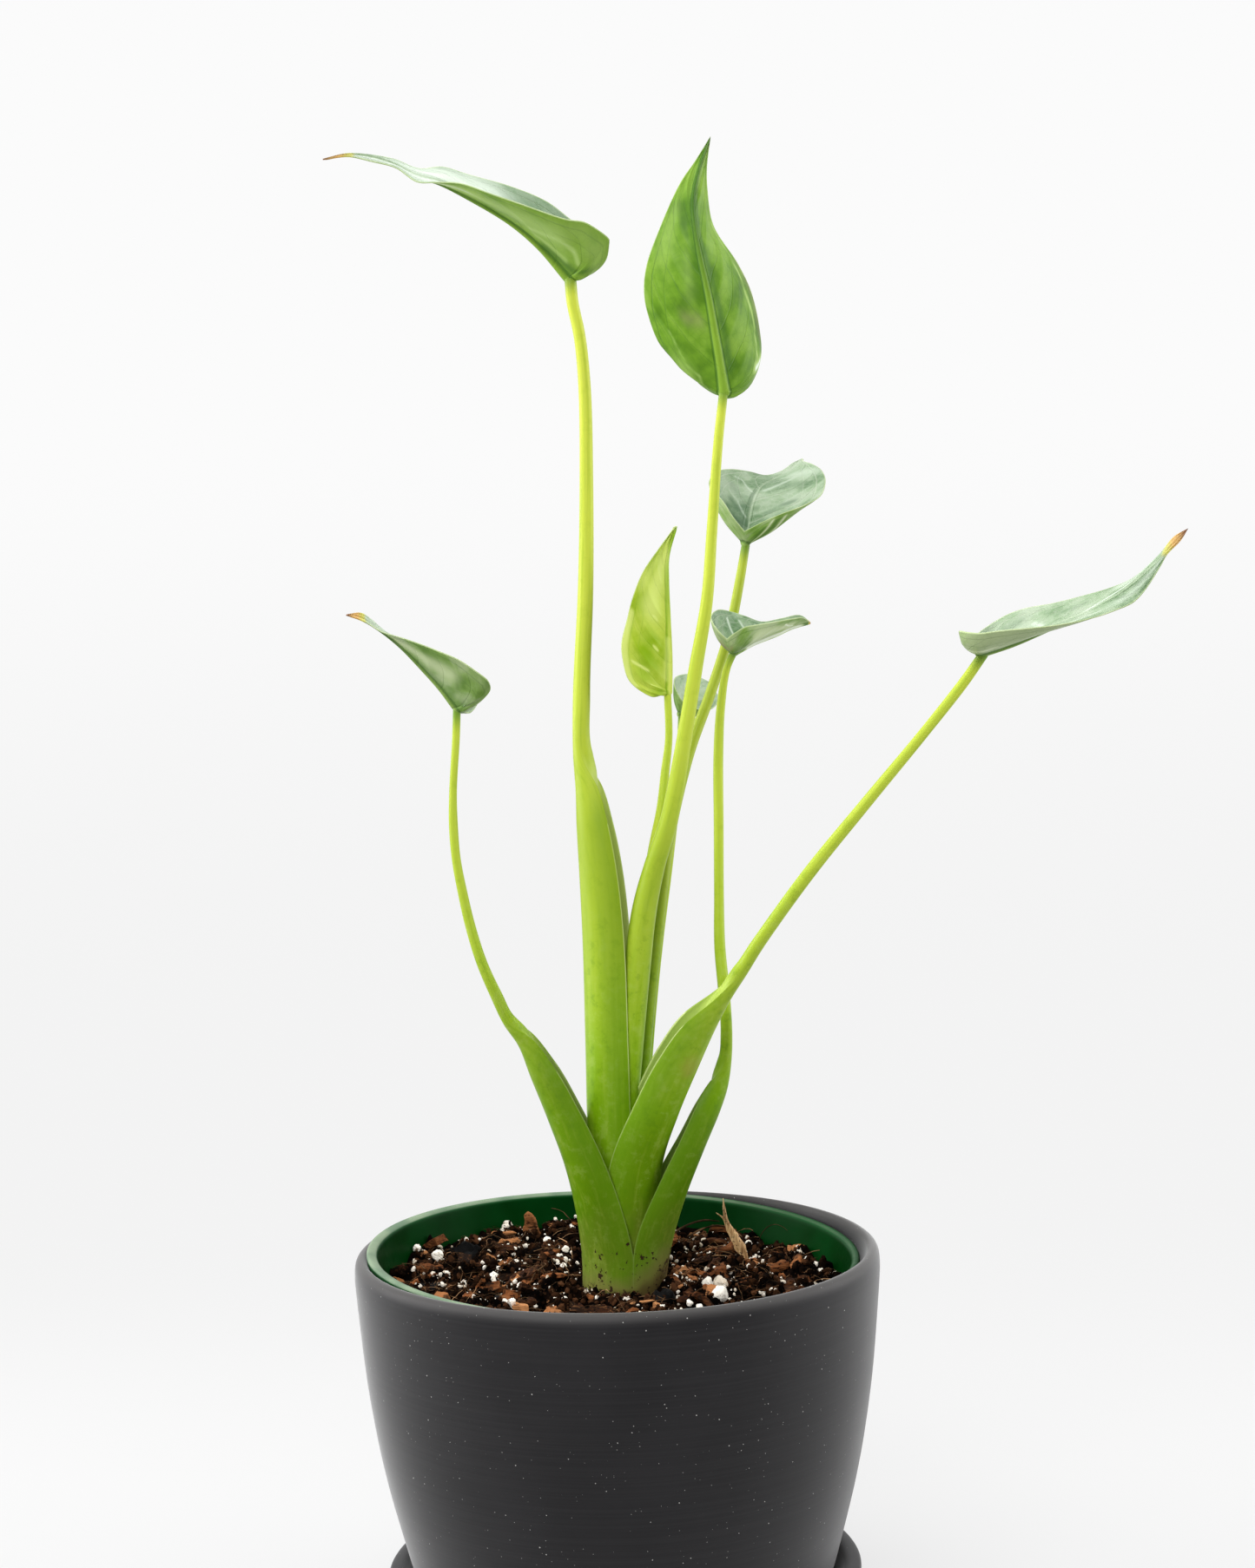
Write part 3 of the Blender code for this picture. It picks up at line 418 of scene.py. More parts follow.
def bark_material():
    """Pine bark: red-brown plates in thin layers, each chip of its own shade, torn ends paler."""
    material, tree, place = blank_material("pine bark")
    grain = clouds(stretched(place, (300, 900, 1900), (0.4, 0.3, 0.6)), 1.0, 4.0)
    body = ramp(attribute(tree, "tone"), (0.0, (0.010, 0.0045, 0.0025)), (0.45, (0.036, 0.012, 0.0045)),
                (0.8, (0.23, 0.076, 0.024)), (1.0, (0.46, 0.21, 0.085)))
    body = painted(
        body,
        torn=(between(grain, 0.50, 0.75, 0, 0.5), (0.27, 0.115, 0.043)),
        gaps=(between(grain, 0.46, 0.32), (0.006, 0.003, 0.002)),
        damp=(between(clouds(place, 260.0, 2.0), 0.54, 0.64, 0, 0.8), (0.012, 0.0065, 0.004)))
    return coated(material, {"Base Color": body, "Roughness": 0.75, "Specular IOR Level": 0.05,
                             "Normal": bump(grain, 0.9, 0.0005)})


def perlite_material():
    """Expanded perlite: chalk white and pitted, stained tan where peat has rubbed off on it."""
    material, tree, place = blank_material("perlite")
    pits = cells(place, 1300.0)
    stain = clouds(place, 480.0, 4.0, 0.65)
    body = painted(
        mixed(attribute(tree, "tone"), (0.90, 0.85, 0.76), (0.52, 0.43, 0.32)),
        stains=(between(stain, 0.52, 0.68), (0.16, 0.10, 0.055)),
        pits=(between(pits, 0.22, 0.06), (0.20, 0.15, 0.11)))
    return coated(material, {"Base Color": body, "Roughness": 0.9, "Normal": bump(pits, 0.6, 0.0003)})


SCATTER_INPUTS = {
    "Geometry": "Geometry", "Bits per square metre": "Float", "Patchiness": "Float", "Dent": "Float",
    "Lift": "Float", "Lean": "Float", "Smallest": "Vector", "Largest": "Vector", "Seed": "Int",
    "Finish": "Material"}


def scatter_tree(name, shape):
    """Strews one small shape over a surface, each at a random turn and size, dented in its own way."""
    tree = bpy.data.node_groups.new(name, "GeometryNodeTree")
    for label, kind in SCATTER_INPUTS.items():
        tree.interface.new_socket(label, in_out="INPUT", socket_type="NodeSocket" + kind)
    tree.interface.new_socket("Geometry", in_out="OUTPUT", socket_type="NodeSocketGeometry")
    given = add_node(tree, "NodeGroupInput")
    place = add_node(tree, "GeometryNodeInputPosition")
    patch = between(clouds(place, 75.0, 2.0), 0.40, 0.62, 0.0, 1.8, "LINEAR")
    patch = add_node(tree, "ShaderNodeMix", {0: given["Patchiness"], 2: 1.0, 3: patch})
    spots = add_node(tree, "GeometryNodeDistributePointsOnFaces", {
        "Mesh": given["Geometry"], "Density": given["Bits per square metre"] * patch, "Seed": given["Seed"]})
    lean = given["Lean"]
    low = add_node(tree, "ShaderNodeCombineXYZ", {0: lean * -1.0, 1: lean * -1.0, 2: 0.0})
    high = add_node(tree, "ShaderNodeCombineXYZ", {0: lean, 1: lean, 2: math.tau})
    turn = add_node(tree, "FunctionNodeRandomValue", {0: low, 1: high, "Seed": given["Seed"]},
                    data_type="FLOAT_VECTOR")
    skew = add_node(tree, "FunctionNodeRandomValue", {2: 0.0, 3: 1.0, "Seed": 11}, 1) ** 2.4
    size = add_node(tree, "ShaderNodeMix", {0: skew, 4: given["Smallest"], 5: given["Largest"]}, 1,
                    data_type="VECTOR")
    bits = add_node(tree, "GeometryNodeInstanceOnPoints",
                    {"Points": spots, "Instance": shape(tree), "Rotation": turn, "Scale": size})
    tone = add_node(tree, "FunctionNodeRandomValue", {2: 0.0, 3: 1.0, "Seed": 5}, 1)
    toned = {"Geometry": bits, "Name": "tone", "Value": tone}
    toned = add_node(tree, "GeometryNodeStoreNamedAttribute", toned, data_type="FLOAT", domain="INSTANCE")
    real = add_node(tree, "GeometryNodeRealizeInstances", {0: toned})
    dent = clouds(place, 620.0, 2.0, out="Color")
    dent = add_node(tree, "ShaderNodeVectorMath", {0: dent, 1: (0.5, 0.5, 0.5)}, operation="SUBTRACT")
    dent = add_node(tree, "ShaderNodeVectorMath", {0: dent, "Scale": given["Dent"]}, operation="SCALE")
    lift = add_node(tree, "ShaderNodeCombineXYZ", {2: given["Lift"]})
    shift = add_node(tree, "ShaderNodeVectorMath", {0: dent, 1: lift}, operation="ADD")
    moved = add_node(tree, "GeometryNodeSetPosition", {"Geometry": real, "Offset": shift})
    done = add_node(tree, "GeometryNodeSetMaterial", {"Geometry": moved, "Material": given["Finish"]})
    add_node(tree, "NodeGroupOutput", {0: done})
    return tree


def strewn(name, surface, tree, finish, values):
    """The scatter tree run over a surface and turned into a plain mesh."""
    carrier = placed(name, surface.data.copy())
    step = carrier.modifiers.new("scatter", "NODES")
    step.node_group = tree
    values["Finish"] = finish
    for item in tree.interface.items_tree:
        if item.in_out == "INPUT" and item.name in values:
            step[item.identifier] = values[item.name]
    bpy.context.view_layer.update()
    mesh = bpy.data.meshes.new_from_object(carrier.evaluated_get(bpy.context.evaluated_depsgraph_get()))
    mesh.name = name
    mesh.transform(LEAN)
    carrier.modifiers.clear()
    carrier.data = mesh
    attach(carrier, "root")
    return carrier


dark_peat = peat("dark peat", (0.0006, 0.0003, 0.0002), (0.0060, 0.0026, 0.0013))
soil = soil_mass(dark_peat)
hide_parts("soil")
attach(soil, "root")

# The strewing surface is the top of the mass alone, clear of the stem and of the pot's wall.
bed = bpy.data.objects.new("bed", soil.data.copy())
bm = bmesh.new()
bm.from_mesh(bed.data)
outside = []
for face in bm.faces:
    x, y, z = face.calc_center_median() / MM
    near_stem = math.hypot((x - STEM[0]) / (STEM[2] + STEM_GAP), (y - STEM[1]) / (STEM[3] + STEM_GAP)) < 1
    if math.hypot(x, y) > SOIL_RADIUS - WALL_GAP or z < SOIL_TOP - 5 or near_stem:
        outside.append(face)
bmesh.ops.delete(bm, geom=outside, context="FACES")
bm.to_mesh(bed.data)
bm.free()
soil.data.transform(LEAN)


def pebble(tree):
    return add_node(tree, "GeometryNodeMeshIcoSphere", {"Radius": 1.0, "Subdivisions": 2})


def crumb(tree):
    return add_node(tree, "GeometryNodeMeshIcoSphere", {"Radius": 1.0, "Subdivisions": 1})


def flake(tree):
    return add_node(tree, "GeometryNodeMeshCube", {
        "Size": (1.0, 1.0, 1.0), "Vertices X": 6, "Vertices Y": 4, "Vertices Z": 2})


def fibre(tree):
    curve = add_node(tree, "GeometryNodeCurveQuadraticBezier", {
        "Resolution": 8, "Start": (-1.0, 0, 0), "Middle": (0.1, 0.7, 0.5), "End": (1.0, 0.1, -0.2)})
    section = add_node(tree, "GeometryNodeCurvePrimitiveCircle", {"Resolution": 3, "Radius": 0.022})
    return add_node(tree, "GeometryNodeCurveToMesh", {0: curve, 1: section})


bark = bark_material()
perlite = perlite_material()
brown_peat = peat("brown peat", (0.0022, 0.0010, 0.0006), (0.026, 0.0108, 0.0048))
coir = peat("coir fibre", (0.05, 0.028, 0.014), (0.16, 0.09, 0.045), 0.8)

# Dents, lifts and sizes are in metres, and a lean in radians.
strewn("mix_crumbs", bed, scatter_tree("peat crumbs", crumb), brown_peat, {
    "Bits per square metre": 360000.0, "Patchiness": 0.2, "Dent": 0.0013, "Lift": 0.0002, "Lean": 3.0,
    "Smallest": (0.0003, 0.0003, 0.00025), "Largest": (0.0019, 0.0013, 0.0011), "Seed": 3})
strewn("mix_bark", bed, scatter_tree("bark flakes", flake), bark, {
    "Bits per square metre": 9000.0, "Patchiness": 0.6, "Dent": 0.0026, "Lift": 0.0007, "Lean": 0.7,
    "Smallest": (0.0020, 0.0011, 0.0006), "Largest": (0.0115, 0.0050, 0.0024), "Seed": 21})
grains = strewn("mix_perlite", bed, scatter_tree("perlite grains", pebble), perlite, {
    "Bits per square metre": 98000.0, "Patchiness": 1.0, "Dent": 0.0013, "Lift": 0.0003, "Lean": 3.0,
    "Smallest": (0.0002, 0.0002, 0.00018), "Largest": (0.0011, 0.0009, 0.0008), "Seed": 8})
grains.data.shade_smooth()
strewn("mix_fibres", bed, scatter_tree("coir threads", fibre), coir, {
    "Bits per square metre": 42000.0, "Patchiness": 0.4, "Dent": 0.0016, "Lift": 0.0006, "Lean": 0.7,
    "Smallest": (0.0018, 0.0018, 0.0018), "Largest": (0.0075, 0.0060, 0.0050), "Seed": 17})
bpy.data.objects.remove(bed)

# Bits that stand out in the photograph, each at its own place: x, y and size, then how far it turns about Z
# and leans, its width and thickness as shares of its length, and its shade from dark to tan.
PERLITE = (
    (-39.2, 5.2, 4.1), (-15.3, 66.5, 2.3), (-23.7, 52.8, 2.6), (-14.5, 38.6, 3.3), (-60.2, 38.5, 2.2),
    (-66.7, 30.5, 2.5), (-59, 23.4, 3.4), (-55, 7.5, 2.1), (-49, 4.5, 2.9), (-34.2, -23.9, 2.3),
    (-31.8, -28.9, 2.3), (30.7, -0.2, 4.0), (33.8, -9.1, 4.0), (33.2, -24.1, 4.6), (19.6, -0.8, 2.1),
    (23.5, -31.2, 2.1), (-0.3, -14.8, 2.1), (4, -19.5, 1.9), (46, 44.4, 2.3), (36.9, -17.9, 1.9),
    (61.3, -5.1, 2.8), (-18.6, -14, 2.6), (-25.3, -8.2, 3.1), (-16.6, 9.9, 2.0), (-31.6, 4.4, 1.5),
    (-38, 60, 3.1), (-16.7, 31.9, 2.2), (68.0, 11.8, 2.0), (26.5, -31.5, 2.3), (48.6, -17.4, 1.4),
    (38.2, 0.7, 1.2), (17.1, 10, 0.9), (-33.1, 26.2, 2.0), (18, -12.6, 1.9), (-11.6, -34.1, 1.8),
    (-4.5, -34.8, 1.6), (-24.7, -23.2, 1.4))
STAINED = (4, 12, 20)               # grains of perlite that peat has stained
BARK = (
    (-29.4, 62.0, 15.5, 68, -66, 0.66, 0.26, 0.86), (-36.2, 43.6, 8.5, -25, 8, 0.45, 0.30, 0.90),
    (-22.3, 32.5, 9.5, 30, 12, 0.45, 0.28, 0.72), (-61.9, 16.6, 13.4, -32, 8, 0.48, 0.36, 0.62),
    (-47, -11.1, 7.6, -15, 10, 0.75, 0.45, 0.74), (23.2, 4.1, 11.8, -52, 10, 0.34, 0.25, 0.86),
    (20.3, -24.4, 7.7, 22, 14, 0.55, 0.35, 0.90), (8.7, -22.6, 8.3, 14, 4, 0.17, 0.12, 1.0),
    (23.9, 27.6, 17.9, 8, 5, 0.42, 0.28, 0.55), (38.8, 31.7, 10.7, 18, 8, 0.45, 0.35, 0.60),
    (53.1, 17.1, 11.5, 25, 14, 0.50, 0.38, 0.62), (60.2, 14.5, 9.1, 68, 38, 0.42, 0.28, 0.84),
    (-39.3, 55.8, 10.0, -4, 3, 0.22, 0.16, 0.92), (-28.2, -22.9, 8.3, 0, 6, 0.5, 0.4, 0.25),
    (-5.9, -25.8, 9.1, -10, 8, 0.5, 0.4, 0.20), (-19.5, -2.5, 9.0, -6, 4, 0.30, 0.22, 0.78),
    (45.5, -12.0, 8.0, 30, 5, 0.35, 0.25, 0.58), (47.5, 6.5, 9.5, -12, 7, 0.5, 0.3, 0.52),
    (-44.0, 20.0, 9.0, 40, 10, 0.5, 0.4, 0.40), (33.0, 47.0, 11.0, -20, 6, 0.4, 0.3, 0.48))
CHARCOAL = (
    (-60, -3, 8.5, -8, 6, 0.70, 0.40, 0.0), (15.3, -17, 8.6, 20, 10, 0.80, 0.60, 0.0),
    (-50.8, 32, 13.7, 30, 8, 0.8, 0.6, 0.1), (38.5, 9.5, 7.5, 50, 8, 0.6, 0.5, 0.05),
    (-36, -16, 6.5, 60, 12, 0.8, 0.5, 0.0))


def shard(length, width, thick, seed, taper=0.25):
    """A torn slab with blunt ends, longest along X, dented lengthwise like bark."""
    rings, sides = 15, 16
    points = []
    for u in np.linspace(-1, 1, rings):
        ragged = noise.noise(Vector((u * 1.7, seed, 0.3)))
        swell = (1 - abs(u) ** 3.2) ** 0.55 * (0.82 + 0.35 * ragged) * (1 - taper * (1 - u) / 2)
        for angle in np.linspace(0, math.tau, sides, endpoint=False):
            side = width / 2 * swell * math.copysign(abs(math.cos(angle)) ** 0.6, math.cos(angle))
            up = thick / 2 * swell * math.copysign(abs(math.sin(angle)) ** 0.7, math.sin(angle))
            dent = noise.noise(Vector((u * 2.2, side / width * 7 + seed, up / thick * 3)))
            end = noise.noise(Vector((side / width * 5, seed + 3, up / thick * 4)))
            along = length / 2 * (u + 0.16 * end * abs(u))
            points.append((along, side * (1 + 0.25 * dent), up * (1 + 0.75 * dent)))
    points += [(-length / 2 * 1.02, 0, 0), (length / 2 * 1.02, 0, 0)]
    return np.array(points), skinned(rings, sides)


def lump(size, seed):
    """A puffed, pitted grain."""
    bm = bmesh.new()
    bmesh.ops.create_icosphere(bm, subdivisions=3, radius=1.0)
    points = []
    for corner in bm.verts:
        way = corner.co.normalized()
        big = noise.noise(way * 1.1 + Vector((seed, 0, 0)))
        pits = noise.turbulence(way * 3.1 + Vector((0, seed, 0)), 3, False)
        points.append(tuple(way * size / 2 * (1 + 0.38 * big - 0.22 * (pits - 0.4))))
    faces = [tuple(corner.index for corner in face.verts) for face in bm.faces]
    bm.free()
    return np.array(points), faces


def gathered(name, shapes, finish):
    """One piece in the leaning pot from many shapes, each its points and its faces."""
    points, faces, start = [], [], 0
    for shape, links in shapes:
        points.append(shape)
        faces += [tuple(start + corner for corner in link) for link in links]
        start += len(shape)
    piece = solid_piece(name, np.vstack(points), faces, finish)
    piece.data.transform(LEAN)
    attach(piece, "root")
    return piece


def laid_out(name, bits, finish):
    """Bits put down on the mix, each a shape, a place, a turn about Z, a lean, a sink and a shade."""
    shapes, tones = [], []
    for (shape, links), (x, y, turn, lean, sink, tone) in bits:
        spin = Matrix.Rotation(math.radians(turn), 4, "Z")
        pose = Matrix.Translation((x, y, SOIL_TOP + soil_level(x, y) - sink)) @ spin
        pose = pose @ Matrix.Rotation(math.radians(-lean), 4, "Y")
        shapes.append((np.array([pose @ Vector(point) for point in shape]), links))
        tones += [tone] * len(shape)
    mark(gathered(name, shapes, finish).data, tone=tones)


chance = random.Random(4)
laid_out("perlite_lumps", [
    (lump(size, 7.3 * i),
     (x, y, 40 * i, 20 * (i % 5), -0.22 * size, 0.75 if i in STAINED else chance.uniform(0, 0.35)))
    for i, (x, y, size) in enumerate(PERLITE)], perlite)
laid_out("bark_bits", [
    (shard(length, length * wide, length * thick, 3.1 * i, 0.25 if i else 0.6),
     (x, y, turn, lean, -0.12 * length * thick, tone))
    for i, (x, y, length, turn, lean, wide, thick, tone) in enumerate(BARK)], bark)
black = peat("charcoal", (0.004, 0.004, 0.0042), (0.013, 0.0125, 0.0125), 0.6)
laid_out("charcoal_bits", [
    (shard(length, length * wide, length * thick, 5.7 * i + 2), (x, y, turn, lean, 0.0, tone))
    for i, (x, y, length, turn, lean, wide, thick, tone) in enumerate(CHARCOAL)], black)


# Splinter: a pale slip of split cane that stands up out of the mix, forked near its top.
# Hair-thin dry roots lie and stand beside it. All are stuck in the mix and lean where they were left.

CANE = (
    ((43.9, 27, -13.5, 1.0), (43.3, 28, -9.5, 1.5), (42.0, 28, -6.5, 1.75), (40.4, 28, -3.6, 1.6),
    (38.7, 28, -0.8, 1.25), (37.4, 28, 2.0, 0.75), (36.8, 28, 5.0, 0.55), (36.2, 28, 9.8, 0.12)),
    ((37.7, 28, 1.2, 0.5), (36.2, 28, 3.2, 0.35), (33.9, 28, 4.9, 0.08)))
ROOTS = (
    ((49.7, 45, -10.5, 0.2), (49.9, 45, -7.6, 0.16), (52.3, 45, -4.2, 0.14), (55.0, 45, -3.2, 0.12),
    (57.6, 45, -4.0, 0.1), (59.2, 44, -5.0, 0.06)), ((25.0, 46, -8.0, 0.35), (31.0, 50, -6.0, 0.35),
    (36.0, 52, -5.6, 0.3), (41.5, 52, -7.4, 0.22), (44.0, 50, -9.0, 0.15)), ((29.0, 20, -9.0, 0.22),
    (33.0, 22, -6.8, 0.2), (38.0, 23, -7.4, 0.16), (41.0, 24, -9.0, 0.1)), ((14.6, -4.0, -8.6, 0.3),
    (15.4, -4.4, -9.8, 0.28), (14.9, -5.2, -12.0, 0.22), (15.8, -6.0, -14.0, 0.15)),
    ((-24.0, 12.0, -8.6, 0.3), (-22.5, 6.0, -7.4, 0.3), (-25.5, 0.5, -8.6, 0.24),
    (-27.0, -5.0, -10.2, 0.15)), ((18.0, 44.0, -8.2, 0.4), (24.0, 49.0, -5.2, 0.4),
    (31.0, 56.0, -4.8, 0.35), (36.5, 62.0, -6.6, 0.2)))


def spline(rows, steps):
    """Smooth rows through the given ones, with so many steps in each span (centripetal Catmull-Rom)."""
    rows = np.asarray(rows, float)
    padded = np.vstack([2 * rows[0] - rows[1], rows, 2 * rows[-1] - rows[-2]])
    spans = np.linalg.norm(np.diff(padded[:, :3], axis=0), axis=1) ** 0.5
    knots = np.concatenate([[0], np.cumsum(spans)])
    steps = [steps] * (len(rows) - 1) if isinstance(steps, int) else steps
    out = []
    for i, count in enumerate(steps):
        for t in np.linspace(knots[i + 1], knots[i + 2], count, endpoint=False):
            near = padded[i:i + 4]
            for apart, first in ((1, i), (2, i), (1, i + 1)):
                low, high = knots[first:i + 4 - apart], knots[first + apart:i + 4]
                near = [((b - t) * p + (t - a) * q) / (b - a)
                        for p, q, a, b in zip(near, near[1:], low, high)]
            out.append(near[0])
    return np.array(out + [rows[-1]])


def unit(vectors):
    return vectors / np.maximum(np.linalg.norm(vectors, axis=-1, keepdims=True), 1e-9)


def stick(rows, sides, ragged):
    """A tapering stick along the given points, each with its radius, closed at both ends."""
    path = spline(rows, 10)
    ahead = unit(np.gradient(path[:, :3], axis=0))
    across = unit(np.cross(ahead, (0.1, 1, 0.05)))
    third = np.cross(ahead, across)
    points = []
    for i, (row, one, two) in enumerate(zip(path, across, third)):
        for angle in np.linspace(0, math.tau, sides, endpoint=False):
            rough = 1 + ragged * noise.noise(Vector((math.cos(angle) * 2, math.sin(angle) * 2, i * 0.13)))
            points.append(row[:3] + row[3] * rough * (one * math.cos(angle) + 0.6 * two * math.sin(angle)))
    points += [path[0, :3], path[-1, :3]]
    return np.array(points), skinned(len(path), sides)


def cane_material():
    """Split cane: straw tan with darker lengthwise fibres and dark dots of rot."""
    material, tree, place = blank_material("split cane")
    grain = clouds(stretched(place, (2600, 2600, 160), (0, -0.45, 0)), 1.0, 3.0)
    body = ramp(grain, (0.34, (0.20, 0.092, 0.032)), (0.48, (0.50, 0.28, 0.11)), (0.64, (0.76, 0.52, 0.26)))
    body = mixed(between(clouds(place, 900.0, 2.0), 0.58, 0.64), body, (0.10, 0.05, 0.024))
    return coated(material, {"Base Color": body, "Roughness": 0.7, "Normal": bump(grain, 0.7, 0.0003)})


gathered("cane_splinter", [stick(rows, 14, 0.25) for rows in CANE], cane_material())
gathered("dry_roots", [stick(rows, 6, 0.3) for rows in ROOTS], coir)


# Petioles: eight solid, juicy leaf stalks, five of them opening below into a sheath that wraps the younger
# ones.
# They are grown, not joined: the sheaths' feet are rolled round one another at the corm, and a thin dry
# membrane runs down each sheath's margin.

# A stalk row is (x, y, z, radius), from the blade down. A sheath row is (x, y, z, half width, half depth,
# reach of the margins round from the back in degrees, wall). face is the bearing that the sheath opens to,
# and shade darkens the sheath, or the whole of a petiole that has none.
FOOT = 107.0
PETIOLES = {
    1: dict(face=-10, shade=0.94,
        stalk=((-8.5, -4, 433, 1.9), (-8, -4, 425.5, 1.9), (-6, -3, 414.5, 1.9), (-5, -2, 398, 2),
        (-5.5, 0, 368, 2.2), (-7, 2, 335, 2.5), (-9.5, 3, 301.5, 2.8), (-10, 4, 282.5, 3.2)),
        sheath=((-9.5, 4, 270.5, 4.4, 6.2, 110, 3), (-9.5, 4, 259, 5.4, 7.5, 120, 3.2),
        (-9, 4, 242.5, 6.4, 8.5, 126, 3), (-8.5, 4, 219.5, 7.2, 8.9, 131, 2.8),
        (-8.5, 4, 188.5, 7.8, 8.9, 134, 2.4), (-8.5, 3, 157.5, 8.2, 8.8, 138, 2),
        (-7, 0.5, FOOT, 7.8, 8.6, 140, 1.8))),
    2: dict(face=95, shade=1.0,
        stalk=((40.5, -19.5, 394, 1.4), (38.5, -18.5, 378.5, 1.5), (36, -16.5, 351.5, 1.7),
        (34, -15, 330, 1.9), (30, -12.5, 308.5, 2.2), (26.5, -11, 289.5, 2.4), (23, -9.5, 271.5, 2.7)),
        sheath=((20, -9, 259, 2.9, 2.9, 100, 2), (15.5, -7.5, 245.5, 3.4, 3.6, 118, 1.8),
        (12, -6, 231.5, 4, 4.2, 128, 1.7), (9.5, -4.5, 214.5, 4.3, 4.5, 132, 1.6),
        (6.5, -3.5, 189.5, 4.4, 4.6, 135, 1.5), (3.5, -3.5, 161.5, 4.4, 4.5, 138, 1.4),
        (0, -4.5, FOOT, 4.3, 4.3, 140, 1.3))),
    3: dict(face=90, shade=0.77,
        stalk=((49, 32.5, 350, 1.4), (46.5, 30.5, 337.5, 1.6), (42.5, 27.5, 320.5, 1.7),
        (35.5, 22, 300.5, 1.8), (27.5, 15, 280.5, 1.9), (20, 8, 252.5, 2), (16, 6, 227.5, 2.2),
        (12.5, 5, 202, 2.2), (9.5, 4, 174, 2.1), (6, 2, 140.5, 1.9), (4, 1.5, FOOT, 1.8)),
        sheath=()),
    4: dict(face=180, shade=0.64,
        stalk=((44, 6, 313.5, 1.2), (41.5, 6, 308, 1.2), (39.5, 5, 296, 1.4), (38.5, 4, 280.5, 1.6),
        (38, 3, 258, 1.6), (37.5, 2, 235.5, 1.6), (37.5, 1, 219, 1.8), (38.5, 0, 205, 1.9),
        (39, -0.5, 191, 1.9), (38.5, -1, 182, 2.3)),
        sheath=((37, -2, 173.5, 3.4, 4.6, 110, 3), (34.5, -3, 166.5, 4.3, 5.6, 114, 3.2),
        (29, -3, 154, 5.6, 6.3, 114, 3.2), (23, -2, 139.5, 8, 8.2, 107, 3.2),
        (18, -0.5, 123.5, 11, 12, 92, 3), (15, 0.5, FOOT, 12.2, 13.4, 77, 2.4))),
    5: dict(face=175, shade=0.97,
        stalk=((117, -42, 309, 1.5), (111, -41, 300.5, 1.6), (98.5, -38.5, 285, 1.6),
        (81.5, -35, 264.5, 1.8), (64, -31, 243, 2), (48.5, -26, 221.5, 2.1), (43, -23, 212.5, 2.4)),
        sheath=((38, -20, 204.5, 3.4, 3.9, 102, 3), (32.5, -16, 193.5, 5.4, 7.5, 115, 3.6),
        (27.5, -12, 182, 7, 9.1, 119, 3.6), (21, -7.5, 166.5, 8.6, 9.6, 124, 3.4),
        (15.5, -3.5, 150, 9.4, 10, 130, 3), (13.5, -1, 129.5, 9.8, 10.6, 136, 2.4),
        (12.5, 0.5, FOOT, 9.8, 10.9, 140, 2))),
    6: dict(face=5, shade=0.74,
        stalk=((-46, -28, 297, 1.2), (-46.5, -27.5, 289, 1.2), (-48, -26, 272.5, 1.2),
        (-48.5, -25, 262, 1.4), (-48, -24, 251, 1.4), (-46.5, -22.5, 240, 1.5), (-44.5, -21, 229, 1.6),
        (-41.5, -19.5, 217.5, 1.7), (-37.5, -17, 206.5, 1.9), (-34, -15, 198, 2.2)),
        sheath=((-29.5, -13, 190.5, 3.5, 4.3, 108, 3), (-26, -10.5, 180, 5, 6.1, 117, 3.4),
        (-21, -7, 165.5, 6.6, 7.3, 120, 3.4), (-16, -4, 149.5, 9, 8.8, 117, 3.2),
        (-13, -1.7, 134.5, 11, 11, 109, 3), (-11.5, -0.5, 120, 12, 13.2, 102, 2.8),
        (-11.5, -0.6, FOOT, 12.1, 13.3, 100, 2.4))),
    7: dict(face=90, shade=1.0,
        stalk=((21, 3, 301, 1.2), (21, 2, 286.5, 1.2), (19.5, 0.5, 275.5, 1.4), (18, -0.5, 264.5, 1.5),
        (15, -1, 250.5, 1.7), (11.5, -0.5, 231, 1.9), (8.5, 0, 211.5, 2), (6, 0.5, 189, 2), (3, 0, 155, 2),
        (0, -1, FOOT, 1.9)),
        sheath=()),
    8: dict(face=90, shade=1.0,
        stalk=((26, 33, 293.5, 1.1), (25, 28, 280.5, 1.1), (23, 22, 263, 1.2), (20, 16, 243.5, 1.4),
        (16.5, 12.5, 221, 1.4), (13.5, 11, 198.5, 1.5), (10.5, 8.5, 170.5, 1.5), (7.5, 6.5, 139.5, 1.4),
        (6.5, 6, FOOT, 1.4)),
        sheath=()),
}
MARGIN = 0.45                       # thickness of a sheath's membrane edge
SCAR = (0.0265, -0.0200, 0.1815)    # a healed rub on the front of the fifth sheath, in metres
STALK_SIDES = 56
STALK_STEPS = 8
SHEATH_STEPS = 16
FADE_ABOVE, FADE_LENGTH = 26, 38    # the sheath's colours begin above its top, and are full further down
MOUTH_OPEN = 0.6                    # how open a sheath's channel is where it begins
NECK_LENGTH = 10                    # the green neck below a blade ends within this
TOP_DOME = (82, 62, 44, 26, 12)     # angles of the rings that round off a stalk's top


